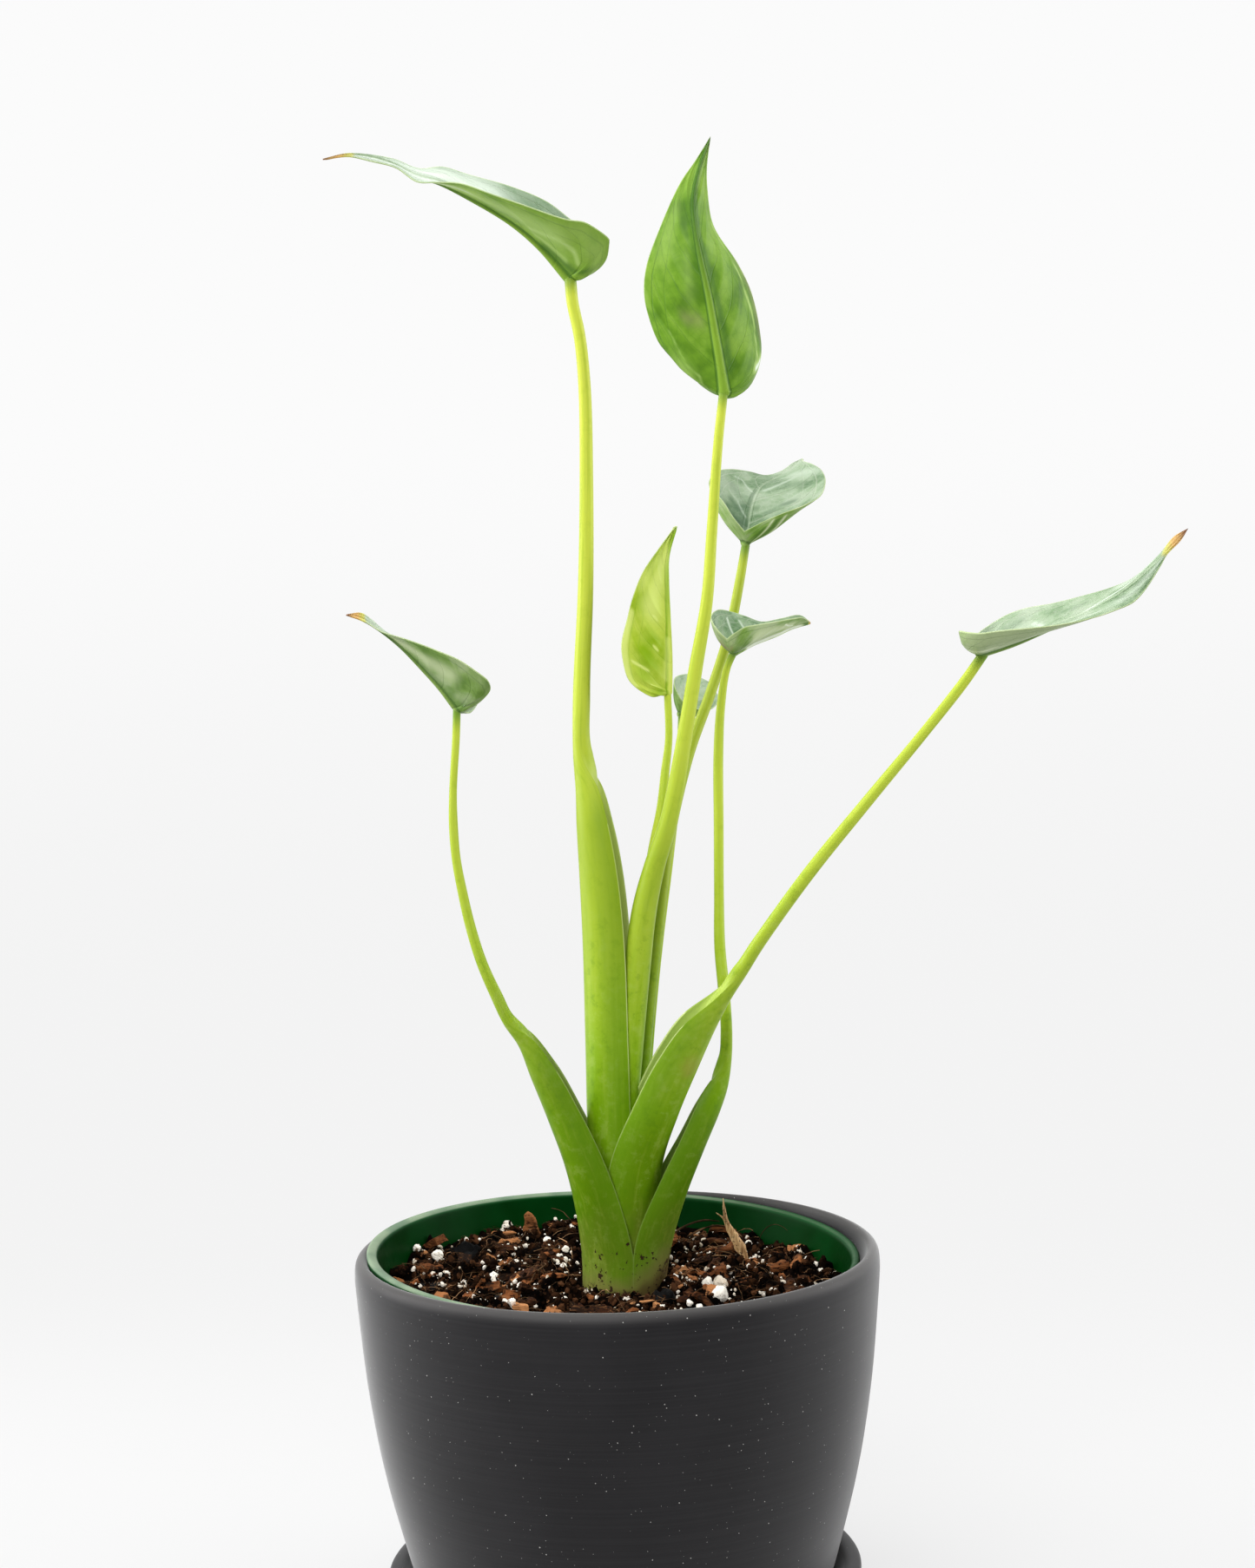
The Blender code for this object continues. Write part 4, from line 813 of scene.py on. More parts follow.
def leaf_stalk(name, face, shade, stalk, sheath, fresh, finish):
    """A petiole, round in its stalk and a channel in its sheath. A fresh one isn't green below its blade."""
    rows = [(x, y, z, r, r, 90, 0, 1) for x, y, z, r in stalk]
    for i, (x, y, z, across, deep, wrap, wall) in enumerate(sheath):
        rows.append((x, y, z, across, deep, wrap, MOUTH_OPEN if i == 0 else 1, wall))
    path = spline(rows, [STALK_STEPS] * (len(stalk) - 1) + [SHEATH_STEPS] * len(sheath))
    ahead = unit(np.gradient(path[:, :3], axis=0))
    ahead[-1] = (0, 0, -1)
    dome = np.repeat(path[:1], len(TOP_DOME), axis=0)
    radius = path[0, 3]
    for ring, angle in zip(dome, np.radians(TOP_DOME)):
        ring[:3] -= ahead[0] * radius * (math.sin(angle) + 0.15)
        ring[3:5] = radius * math.cos(angle)
    offsets = np.concatenate([np.full(len(dome), radius), path[:, 4]])
    path = np.vstack([dome, path])
    ahead = np.vstack([np.repeat(ahead[:1], len(dome), axis=0), ahead])
    bearing = math.radians(face)
    facing = np.array([math.cos(bearing), math.sin(bearing), 0]) + 0 * ahead
    facing = unit(facing - (facing * ahead).sum(1, keepdims=True) * ahead)
    aside = np.cross(ahead, facing)
    length = np.concatenate([[0], np.cumsum(np.linalg.norm(np.diff(path[:, :3], axis=0), axis=1))])
    sides, half = STALK_SIDES, STALK_SIDES // 2
    sheath_top = length[min(len(dome) + STALK_STEPS * (len(stalk) - 1) + SHEATH_STEPS, len(length) - 1)]
    phase = np.linspace(0, math.tau, sides, endpoint=False)
    points = []
    marks = {label: [] for label in ("skin", "edge", "inner", "below", "opening", "sheathed", "shade")}
    for run, back, offset, front_way, side_way in zip(length, path, offsets, facing, aside):
        across, deep, wrap, opened, wall = back[3:]
        wrap, opened = math.radians(wrap), min(max(opened, 0), 1)
        angle = wrap * np.sin(np.linspace(-math.pi / 2, math.pi / 2, half + 1))[:, None]
        outer = side_way * across * np.sin(angle) - front_way * deep * np.cos(angle)
        inside = angle[-2:0:-1]
        turn = inside * (math.pi / 2) / wrap
        edge_front, edge_side = -deep * math.cos(wrap), across * math.sin(wrap)
        bulge = edge_front + (deep - edge_front) * np.cos(turn)
        rounded = side_way * edge_side * np.sin(turn) + front_way * bulge
        thick = MARGIN + (wall - MARGIN) * np.abs(np.cos(turn)) ** 1.2
        channel = side_way * (across - thick) * np.sin(inside) - front_way * (deep - thick) * np.cos(inside)
        ring = np.vstack([outer, rounded * (1 - opened) + channel * opened])
        points.append(ring + back[:3] + front_way * offset)
        sheathed = np.clip((run - sheath_top + FADE_ABOVE) / FADE_LENGTH, 0, 1) if sheath else 0.0
        shaded = 1 - (1 - shade) * (sheathed if sheath else 1)
        here = np.array((run, run + NECK_LENGTH * fresh, opened, sheathed, shaded))
        here = here.repeat(sides).reshape(5, sides)
        skin = np.stack([across * np.cos(phase), deep * np.sin(phase), here[0]], axis=1)
        edge = opened * np.abs(np.concatenate([angle, inside])[:, 0]) / wrap
        inner = opened * (np.arange(sides) > half)
        for label, values in zip(marks, (skin, edge, inner, *here[1:])):
            marks[label].append(values)
    faces = []
    for low in range(0, (len(points) - 1) * sides, sides):
        for k in range(sides):
            after = (k + 1) % sides
            faces.append((low + k, low + after, low + sides + after, low + sides + k))
    for first in (0, (len(points) - 1) * sides):
        faces.append((first, first + 1, first + sides - 1))
        for k in range(1, half - 1):
            faces.append((first + k, first + k + 1, first + sides - k - 1, first + sides - k))
        faces.append((first + half - 1, first + half, first + half + 1))
    piece = solid_piece(name, np.vstack(points), faces, finish)
    mark(piece.data, **{label: np.concatenate(rows) for label, rows in marks.items()})
    return piece


def petiole_material():
    """Lime stalks and greener sheaths, finely streaked lengthwise, pale and soiled at the foot, with painted
    light inside the open sheaths and a faint painted glow.
    """
    material, tree, place = blank_material("petiole skin")
    height = axis(place, 2) * 1000.0
    edge, inner, below, opening, sheathed, shade = [
        attribute(tree, name) for name in ("edge", "inner", "below", "opening", "sheathed", "shade")]
    streaks = clouds(stretched(attribute(tree, "skin", "Vector"), (1.1, 1.1, 0.03)), 1.0, 3.0)
    cloud = clouds(place, 55.0, 3.0)
    mottle = clouds(place, 240.0, 5.0, 0.72)
    low_part = between(height, 290, 190, 0.25, 1.0)
    scar = add_node(tree, "ShaderNodeVectorMath", {0: place, 1: SCAR}, "Value", operation="DISTANCE")
    scar = scar + (mottle - 0.5) * 0.006
    # The soil line runs up to 9 mm higher on the right of the foot, so the film and the soil darken that side
    # further up.
    damp = height + cloud * 16.0 - between(axis(place, 0), 0.004, 0.022, 0, 9.0)
    body = ramp((height + (cloud - 0.5) * 42.0 - 107.0) / 293.0,
                (0.0, (0.245, 0.270, 0.070)), (0.05, (0.135, 0.190, 0.016)), (0.11, (0.105, 0.215, 0.002)),
                (0.20, (0.165, 0.320, 0.003)), (0.32, (0.26, 0.39, 0.016)), (0.50, (0.37, 0.465, 0.034)),
                (1.0, (0.50, 0.56, 0.055)))
    body = painted(
        body,
        deep_streaks=(between(streaks, 0.46, 0.74, 0, 0.28), (0.12, 0.25, 0.003)),
        light_streaks=(between(streaks, 0.50, 0.28, 0, 0.16), (0.46, 0.54, 0.08)),
        light_spots=(between(mottle, 0.50, 0.66, 0, 0.26) * low_part, (0.36, 0.46, 0.10)),
        deep_spots=(between(mottle, 0.48, 0.34, 0, 0.34) * low_part, (0.070, 0.180, 0.002)),
        neck=(between(below, 9.0, 1.0, 0, 0.85), (0.085, 0.205, 0.022)),
        flanks=(opening * between(edge, 0.42, 0.86, 0, 0.55), (0.110, 0.235, 0.004)),
        # painted light: the inside of the open sheaths is made pale, most near their tops, standing in for
        # light that comes through the thin wall
        thin=(inner * between(height, 204, 226, 0.3, 0.9), (0.72, 0.80, 0.30)),
        membrane=(between(edge, 0.972, 0.994) * between(height, 130, 235, 0.12, 0.8), (0.62, 0.70, 0.30)),
        sheath=(sheathed * between(height, 190, 260, 0, 0.55), (0.215, 0.315, 0.012)),
        shaded=(1.0 - shade, (0.030, 0.085, 0.0008)),
        rub=(between(scar, 0.0068, 0.0030, 0, 0.45), (0.31, 0.27, 0.055)),
        rub_rim=(between(abs(scar - 0.0022), 0.0007, 0.0002, 0, 0.4), (0.25, 0.145, 0.045)),
        film=(between(damp, 127, 119, 0, 0.65), (0.150, 0.125, 0.038)),
        soiled=(between(damp, 120.5, 117, 0, 0.8), (0.058, 0.034, 0.014)))
    patches = between(clouds(place, 120.0, 2.0), 0.40, 0.62, -0.10, 0.06)
    dirt = clouds(place, 850.0, 4.0, 0.7) + between(damp, 128, 116, 0.0, 0.16)
    dirt = between(dirt + patches, 0.67, 0.72) * between(damp, 139, 130)
    shaken = mixed(0.0032, place, clouds(place, 700.0, 2.0, out=1), "ADD")
    low_down = between(height, 129, 113)
    for size, reach, chosen in ((300.0, 0.30, 0.97), (620.0, 0.30, 0.90)):
        blots = cells(shaken, size)
        share = add_node(tree, "ShaderNodeSeparateColor", {0: blots["Color"]}) + low_down * 0.35
        picked = share * between(low_down, 0.0, 0.1) > chosen
        dirt = maths("MAXIMUM", dirt, picked * between(blots, reach, reach * 0.7))
    body = mixed(dirt, body, (0.030, 0.017, 0.008))
    return coated(material, {
        # painted light: the skin glows faintly in its own colour, lifting the shade between the sheaths
        "Base Color": body, "Emission Color": body, "Emission Strength": 0.05,
        "Roughness": between(streaks, 0.3, 0.7, 0.34, 0.46),
        "Specular IOR Level": between(height, 130, 200, 0.05, 0.16), "Normal": bump(streaks, 0.30, 0.0002)})


petiole_skin = petiole_material()
for number, shape in PETIOLES.items():
    petiole = leaf_stalk(f"leaf_stalk_{number}", **shape, fresh=number == 7, finish=petiole_skin)
    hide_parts(f"petiole_{number}")
    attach(petiole, "root")


# Corm: the short, starchy stem base that the sheaths grow from, all of it under the mix.
# It is grown in one piece and keeps the solid's form; its skin is pale and brown in rings where leaves were.


def corm_material():
    """Brown rings of old leaf scars on pale skin."""
    material, tree, place = blank_material("corm skin")
    waves = {"Vector": place, "Scale": 90.0, "Distortion": 3.0, "Detail": 2.0}
    rings = add_node(tree, "ShaderNodeTexWave", waves, "Fac", bands_direction="Z")
    body = mixed(between(rings, 0.3, 0.8), (0.26, 0.19, 0.10), (0.09, 0.05, 0.025))
    return coated(material, {"Base Color": body, "Roughness": 0.8})


corm_skin = corm_material()
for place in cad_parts["corm"].material_slots:
    place.material = corm_skin


# Blades: one leathery, waxy leaf on each petiole, folded along its midrib, with two short lobes behind.
# The midrib carries on from the petiole as a keel below. Lateral veins arch towards the tip and run
# into a vein along the margin, which is a thin pale line. The tips of the older leaves have dried.

# Each blade is given from the top of its petiole by its midrib, and by its two margins, which run from
# the notch behind the petiole round the lobe to the tip. Left and right are as seen from its upper side
# with the tip ahead. Its cups are how far each half sags below a flat sheet at the rear and further on, and
# its tone shifts the colours of the upper and the under side towards light or deep, partly as the leaf's own
# tone and partly as painted light and shade, as where an underside is lightened for light coming through it.
BLADES = {
    1: dict(at=(-7, -4, 434), notch=(2, 1, 0.5), tip=(-74.5, -20, 34),
        midrib=((-8, -4, 9), (-17, -9, 16), (-30, -14, 23), (-39, -17, 27), (-46, -18, 29),
        (-52.5, -19, 32), (-59, -20, 34), (-67, -20, 35)),
        left=((8.5, -5, 0.5), (12, -10, 3.2), (13, -14, 7), (13.1, -15.2, 8.2), (12.2, -16.2, 9),
        (9.2, -18.7, 10.8), (5.5, -21.3, 12.4), (0, -23, 13), (-13.5, -25, 17.5), (-23, -25, 21),
        (-32, -24, 24.5), (-39, -22, 25.5), (-45.5, -21, 26), (-52, -21, 30.5), (-59, -21, 32.5),
        (-67, -20.5, 34.5)),
        right=((5.5, 5, 4.5), (8, 9, 9.5), (7, 12, 15), (0, 12, 21), (-6.5, 9, 25.5), (-17.5, 2, 29),
        (-30.5, -5, 31.5), (-38.5, -10, 33), (-45.5, -15, 31.5), (-52.5, -17, 34), (-59, -19, 35),
        (-67, -20, 35.5)),
        cups=((0.2, 0.08, 0.04), (0.2, 0.1, 0.04)), veins=8, dried=0.09, tone=(0, 0.55)),
    2: dict(at=(40.5, -18, 394.5), notch=(0.5, 4, -1.5), tip=(-2, 6, 80),
        midrib=((-2, -4, 13), (-4.5, -7, 28.5), (-7.5, -7, 44.5), (-8.5, -4, 57), (-6.5, 0, 67.5)),
        left=((4, 7, -0.5), (7.5, 10, 2.5), (10, 12, 6), (12.5, 12, 12.5), (12, 10, 21.5), (9.5, 7, 32),
        (5.5, 4, 40), (-2, 1, 51.5), (-3.5, 2, 62.5), (-3.5, 3, 69.5)),
        right=((-2, 6, 0.5), (-7.5, 6, 4.5), (-13.5, 4, 10.5), (-19, 3, 15), (-23, 2, 25), (-24, 1, 32),
        (-23, 0, 39.5), (-18.5, -1, 51), (-12, 0, 64.5), (-7, 3, 72)),
        cups=((0.25, 0.12, 0.06), (0.2, 0.08, 0.05)), veins=8, young=0.35, tone=(0, -0.06)),
    3: dict(at=(49, 34, 351), notch=(-0.5, -4, 3.5), tip=(23, 38, 31.5),
        midrib=((1, 4, 6), (3, 10, 14), (6.5, 18, 20), (12, 26, 23.5), (17.5, 32, 27)),
        left=((-4, -4, 8), (-7.5, -2, 14), (-11, 4, 18.5), (-11, 12, 22.5), (-8, 19, 26), (-3, 24, 27),
        (3.5, 29, 26.5), (9.5, 33, 25.5), (15, 35, 27), (19.5, 37, 30)),
        right=((6, -6, 6.5), (12.5, -7, 9), (19.5, -4, 11.5), (25.5, 1, 15), (28, 8, 20.5), (27.5, 16, 25),
        (25, 24, 28), (22.5, 32, 30)),
        cups=((0.12, 0.12, 0.08), (0.2, 0.09, 0.06)), veins=7, tone=(-0.15, -0.1)),
    4: dict(at=(43, 6, 314), notch=(-2.5, -4, 4), tip=(27, 26, 9.5),
        midrib=((6.5, 6, 3), (14, 13, 5.5), (20.5, 20, 8)),
        left=((-4.5, -3, 6), (-6.5, 1, 9), (-7, 6, 12), (-4.5, 11, 14), (-0.5, 15, 13.5), (4.5, 18, 12),
        (10.5, 21, 10), (17, 23, 11), (23.5, 25, 12)),
        right=((-0.5, -6, 5.5), (3, -6, 7.5), (8.5, -3, 8.5), (14.5, 4, 9.5), (20, 12, 10.5),
        (24, 20, 11)),
        cups=((0.25, 0.1, 0.05), (0.35, 0.15, 0.05)), veins=6, dried=0.03, tone=(-0.30, 0.10)),
    5: dict(at=(115.5, -42, 311), notch=(-2, 3, 3), tip=(61.5, -6, 35),
        midrib=((8.5, -3, 2.5), (18.5, -6, 6.5), (29, -8, 10.5), (41, -9, 17), (51.5, -8, 25.5)),
        left=((0, 8, 5.5), (3, 11, 7.5), (6.5, 12, 9.5), (10.5, 11, 11.5), (15.5, 9, 13), (22.5, 6, 14),
        (31.5, 3, 16), (39, 0, 18), (45, -3, 20.5), (50.3, -5, 24.9), (53.7, -5.8, 28.4), (57.1, -6, 32.5)),
        right=((-5, -2, 3), (-8, -8, 6), (-6.5, -13, 5.5), (-3, -16, 5), (2.5, -18, 5.5), (11, -20, 6),
        (17.5, -20, 6.5), (24.5, -20, 7.5), (31.5, -18, 9), (38, -15, 11), (43, -13, 13), (47, -11, 16.5),
        (52.5, -9, 24), (54.7, -7.5, 27.2), (58.9, -6.5, 31.2)),
        cups=((0.25, 0.08, 0.03), (0.3, 0.1, 0.03)), veins=7, dried=0.13, tone=(0, 0.60)),
    6: dict(at=(-44.5, -28, 298), notch=(2, 1, -1), tip=(-31.5, -16, 29),
        midrib=((-4.5, -3, 6.5), (-10, -6, 13), (-16, -9, 19.5), (-22, -12, 24.5), (-27, -14, 27.5)),
        left=((5.5, -5, 0.5), (9, -9, 3), (11, -12, 5.5), (10.5, -15, 8), (7, -17, 11), (2, -18, 14.5),
        (-3.5, -18, 17), (-9.5, -17, 19.5), (-15, -16, 21.5), (-21, -16, 23.5), (-26.5, -16, 27)),
        right=((3.5, 6, -1.5), (5.5, 9, 1), (5.5, 10, 4.5), (3, 9, 8.5), (-2.5, 6, 14), (-9, 1, 18),
        (-15, -4, 21.5), (-18.5, -7, 22.5), (-21.5, -10, 24.5), (-24.5, -12, 27.5), (-27.5, -14, 29.5)),
        cups=((0.2, 0.1, 0.04), (0.2, 0.1, 0.04)), veins=6, dried=0.10, tone=(0, -0.05)),
    7: dict(at=(21, 4, 301.5), notch=(-1.5, 0, -0.5), tip=(4, -3, 53),
        midrib=((0.5, -1, 10), (0.5, -2, 24), (0.5, -3, 35.5), (1, -3, 43.5)),
        left=((-4.5, 3, -1), (-8.5, 5, 1.5), (-11.5, 6, 5), (-13.5, 6, 9.5), (-13.5, 6, 16), (-12, 4, 24),
        (-9.5, 3, 31), (-6, 1, 38.5), (-1.5, -1, 45.5), (1.5, -2, 50)),
        right=((-5, -5, -1.5), (-9, -7, 0.5), (-12.5, -8, 4), (-14, -8, 9), (-14.5, -8, 15.5),
        (-12.5, -7, 23.5), (-10.5, -7, 30.5), (-7, -6, 38.5), (-2, -5, 45.5), (1.5, -4, 50)),
        cups=((0.1, 0.12, 0.08), (0.1, 0.12, 0.08)), veins=7, young=1, tone=(0.20, 0.34)),
    8: dict(at=(26, 34, 294), notch=(1.5, -3, 3), tip=(11, 24, 10.5),
        midrib=((2.5, 6, 4), (5, 12, 7.5), (7.5, 18, 9.5)),
        left=((-0.5, -2, 6), (-2, 2, 10), (-1.5, 8, 12.5), (1, 14, 13.5), (4.5, 19, 13.5), (8, 22, 12)),
        right=((4.5, -5, 2), (7.5, -3, 1), (11, 2, 2), (13, 8, 5), (12.5, 14, 7), (11.5, 20, 9)),
        cups=((0.15, 0.12, 0.08), (0.2, 0.15, 0.08)), veins=5),
}
# Strokes of a lighter, a deeper or a worn colour, by the half and the face that they are on. Light strokes
# are mostly painted highlights, glints and painted light coming through the leaf, some of them pale veins and
# folds;
# deep strokes are mostly painted shade in folds and beside the midrib; worn strokes are brown wear. A row has
# in hundredths where the stroke starts and ends, each as rib and share across, then its width and strength.
STROKES = {
    1: {
        "light left below": ((60, 50, 36, 62, 30, 45), (30, 85, 20, 80, 20, 30),
            (42, 39, 33.3, 57.5, 6, 70), (33.3, 57.5, 27.5, 50, 5, 70), (27.5, 50, 24.5, 38, 5, 60),
            (40, 28, 29, 25, 6, 45), (80, 60, 62, 50, 30, 75), (22, 75, 10, 80, 25, 35)),
        "deep left below": ((36, 14, 20, 22, 9, 90), (15, 35, 12, 70, 9, 90), (50, 60, 44, 80, 10, 25),
            (60, 30, 48, 35, 12, 40)),
        "light right above": ((74, 50, 56, 60, 45, 75),),
        "deep right above": ((42, 60, 28, 70, 45, 75),),
        "light left above": ((90, 50, 70, 50, 40, 70),),
        "deep left above": ((95, 50, 88, 50, 30, 45),)},
    2: {
        "light left below": ((70.3, 90, 57.5, 88.5, 2.2, 60), (57.5, 88.5, 45.3, 82, 2.2, 60),
            (45.3, 82, 34.3, 80, 2.2, 65), (34.3, 80, 26.2, 72, 2.2, 60), (23.5, 66, 23, 86, 9, 100),
            (99, 50, 97, 50, 50, 35), (92, 70, 72, 80, 25, 22)),
        "worn left below": ((56, 99, 30, 93, 5, 35),),
        "deep left below": ((50, 95, 28, 90, 5, 60), (85, 22, 55, 16, 8, 80), (55, 16, 30, 14, 6, 80),
            (95, 15, 80, 15, 15, 50), (18, 40, 12, 80, 15, 40)),
        "worn right below": ((44.5, 20, 43, 38, 9, 35),),
        "light right below": ((36, 68, 31, 60, 2.5, 30), (31, 60, 27.5, 50, 2.5, 30),
            (27.5, 50, 26.5, 31, 2.5, 35), (26.5, 31, 12, 33, 2.5, 35), (24, 60, 10, 70, 25, 35),
            (72, 75, 60, 80, 25, 25), (62, 30, 50, 30, 12, 20)),
        "deep right below": ((95, 20, 60, 10, 6, 50), (90, 30, 70, 30, 25, 35))},
    3: {
        "deep left above": ((46, 12, 36, 45, 24, 50), (42, 18, 44.5, 42, 10, 90), (37, 4, 40, 10, 8, 80),
            (50, 30, 53, 60, 10, 45), (40, 5, 60, 6, 6, 70), (36, 3, 31, 60, 20, 100),
            (46, 10, 40, 45, 10, 80)),
        "deep right above": ((30, 20, 36, 75, 14, 45), (31, 15, 38, 60, 7, 50), (47, 44, 47.5, 56, 6, 80),
            (43, 25, 44, 33, 5, 60), (66, 25, 60, 70, 15, 35)),
        "light left above": ((57.5, 8.7, 60.9, 57.5, 2.5, 45), (60.9, 57.5, 58.4, 78.5, 2.5, 50),
            (40, 5, 47, 30, 2.5, 35), (47, 30, 49, 60, 2.2, 30)),
        "light right above": ((42, 3, 50, 50, 3, 20), (50, 50, 56, 80, 3, 20), (60, 10, 70, 50, 5, 40),
            (75, 50, 70, 90, 25, 35)),
        "deep right below": ((11.5, 20, 12.5, 75, 5, 90), (18.5, 30, 18.5, 85, 6, 90)),
        "light right below": ((15, 20, 15.5, 90, 3.5, 80), (22.5, 30, 22, 90, 4, 80))},
    4: {
        "light left above": ((36, 25, 40, 80, 3.5, 60), (48, 20, 49, 75, 3.5, 60),
            (58, 15, 60, 70, 3.5, 50)),
        "deep left above": ((42, 15, 45, 50, 8, 50), (30, 5, 32, 30, 8, 80), (50, 50, 30, 30, 25, 35)),
        "light right below": ((75, 50, 30, 65, 25, 60), (90, 12, 35, 10, 12, 85), (80, 30, 62, 75, 6, 90)),
        "deep right below": ((10, 30, 22, 40, 20, 50),),
        "worn left below": ((0, 50, 6, 60, 10, 90),),
        "worn right below": ((2, 50, 3, 60, 8, 60),)},
    5: {
        "light right below": ((30, 90, 12, 80, 20, 25), (16, 50, 28, 45, 5, 80)),
        "worn right below": ((6, 90, 12, 95, 6, 60),),
        "deep right below": ((10, 14, 50, 12, 9, 50),),
        "light right above": ((88, 50, 70, 50, 25, 40), (45, 30, 62, 50, 5, 60)),
        "light left above": ((38, 55, 44, 25, 4, 80), (62, 5, 80, 50, 8, 80), (85, 70, 70, 80, 20, 50)),
        "deep left above": ((30, 70, 20, 60, 15, 50), (55, 60, 48, 60, 12, 30))},
    6: {
        "light left below": ((72, 35, 45, 55, 25, 50), (42, 85, 25, 95, 10, 20)),
        "deep left below": ((26, 25, 18, 40, 17, 70), (38, 25, 33, 12, 10, 60), (36, 40, 40, 60, 8, 40),
            (60, 12, 30, 10, 8, 50)),
        "worn left below": ((10, 90, 5, 70, 7, 60),),
        "light right above": ((85, 50, 70, 50, 50, 60),)},
    7: {
        "light right below": ((85, 30, 62, 50, 35, 50), (97, 50, 70, 85, 30, 35), (57, 30, 58, 42, 3, 75),
            (43, 28, 44, 36, 3, 70), (33, 82, 31, 52, 3.5, 70), (22.5, 50, 21.5, 20, 3, 70),
            (55, 95, 20, 95, 7, 60), (50, 6, 30, 10, 6, 35)),
        "deep right below": ((46, 50, 28, 60, 20, 62), (16, 30, 12, 40, 10, 50))},
}
BLADE_RIBS = 110
NEAR_MIDRIB = (0, 0.01, 0.022, 0.037, 0.055, 0.078, 0.105)
BLADE_STEPS = np.concatenate([NEAR_MIDRIB, np.linspace(0.14, 0.95, 19), (0.978, 1)])
BLADE_FAN = 0.24                    # share of the margin whose ribs start at the petiole
BLADE_THICKNESS = 0.45
EDGE_WIDTH, EDGE_SHARE = 0.6, 0.75  # the margin's band, and its share of the thickness
VEIN_SWEEP = (0.10, 0.12)           # how far the side veins run on towards the tip, evenly and curving
KEEL_TAPER, KEEL_LEAST = 0.85, 0.15     # the keel narrows by this share, and its least radius
SKIRT = (0.35, 1.9)                 # depth and width of the slopes beside the keel, in its radii
GROOVE = (0.22, 0.45)               # depth and width of the groove above the midrib, in the same
GROWN_SWELL, YOUNG_SWELL = 0.18, 0.30       # rise between two veins, and how much more a young leaf has


def along(rows, shares):
    """Points at the given shares of the length of a smooth curve through the rows."""
    dense = spline(rows, 16)
    length = np.concatenate([[0], np.cumsum(np.linalg.norm(np.diff(dense, axis=0), axis=1))])
    return np.stack([np.interp(shares * length[-1], length, dense[:, k]) for k in range(3)], axis=1)


def stroked(strokes, kind, rib, across, half, under):
    """How strongly each point of a blade takes one kind of stroke."""
    total = np.zeros(len(rib))
    spots = np.stack([4 * rib, across], axis=1)
    for place, rows in strokes.items():
        label, side, face = place.split()
        here = (half == (1 if side == "left" else -1)) * (under == (face == "below")) * (label == kind)
        for row in rows:
            rib_1, across_1, rib_2, across_2, width, strength = np.array(row) / 100
            start = np.array((4 * rib_1, across_1))
            run = np.array((4 * (rib_2 - rib_1), across_2 - across_1))
            share = np.clip((spots - start) @ run / max(run @ run, 1e-6), 0, 1)
            away = np.linalg.norm(spots - start - share[:, None] * run, axis=1)
            total = np.maximum(total, strength * np.exp(-(away / width) ** 2) * here)
    return total


def half_blade(margin, cups, sign, share, roots):
    """A grid of points from the midrib to one margin, with the half's sag."""
    edge = along(margin, share)
    reach = edge - roots
    up = sign * np.cross(np.gradient(edge, axis=0), reach)
    up[-1] = up[-2]
    up = unit(up)
    for _ in range(30):
        up[1:-1] = unit(up[:-2] + 2 * up[1:-1] + up[2:])
    sag = np.interp(share, np.linspace(0, 1, len(cups)), cups) * np.linalg.norm(reach, axis=1)
    sag = sag[:, None] * 4 * BLADE_STEPS * (1 - BLADE_STEPS)
    return roots[:, None] + reach[:, None] * BLADE_STEPS[:, None] - up[:, None] * sag[..., None]


def evened_normals(points, faces):
    """The normals of a sheet's points, smoothed over their neighbours."""
    normals = np.zeros_like(points)
    turn = np.cross(points[faces[:, 1]] - points[faces[:, 0]], points[faces[:, 2]] - points[faces[:, 0]])
    for corner in range(3):
        np.add.at(normals, faces[:, corner], turn)
    normals = unit(normals)
    for _ in range(24):
        total = normals.copy()
        for corner in range(3):
            np.add.at(total, faces[:, corner], normals[faces[:, corner - 1]] + normals[faces[:, corner - 2]])
        normals = unit(total)
    return normals


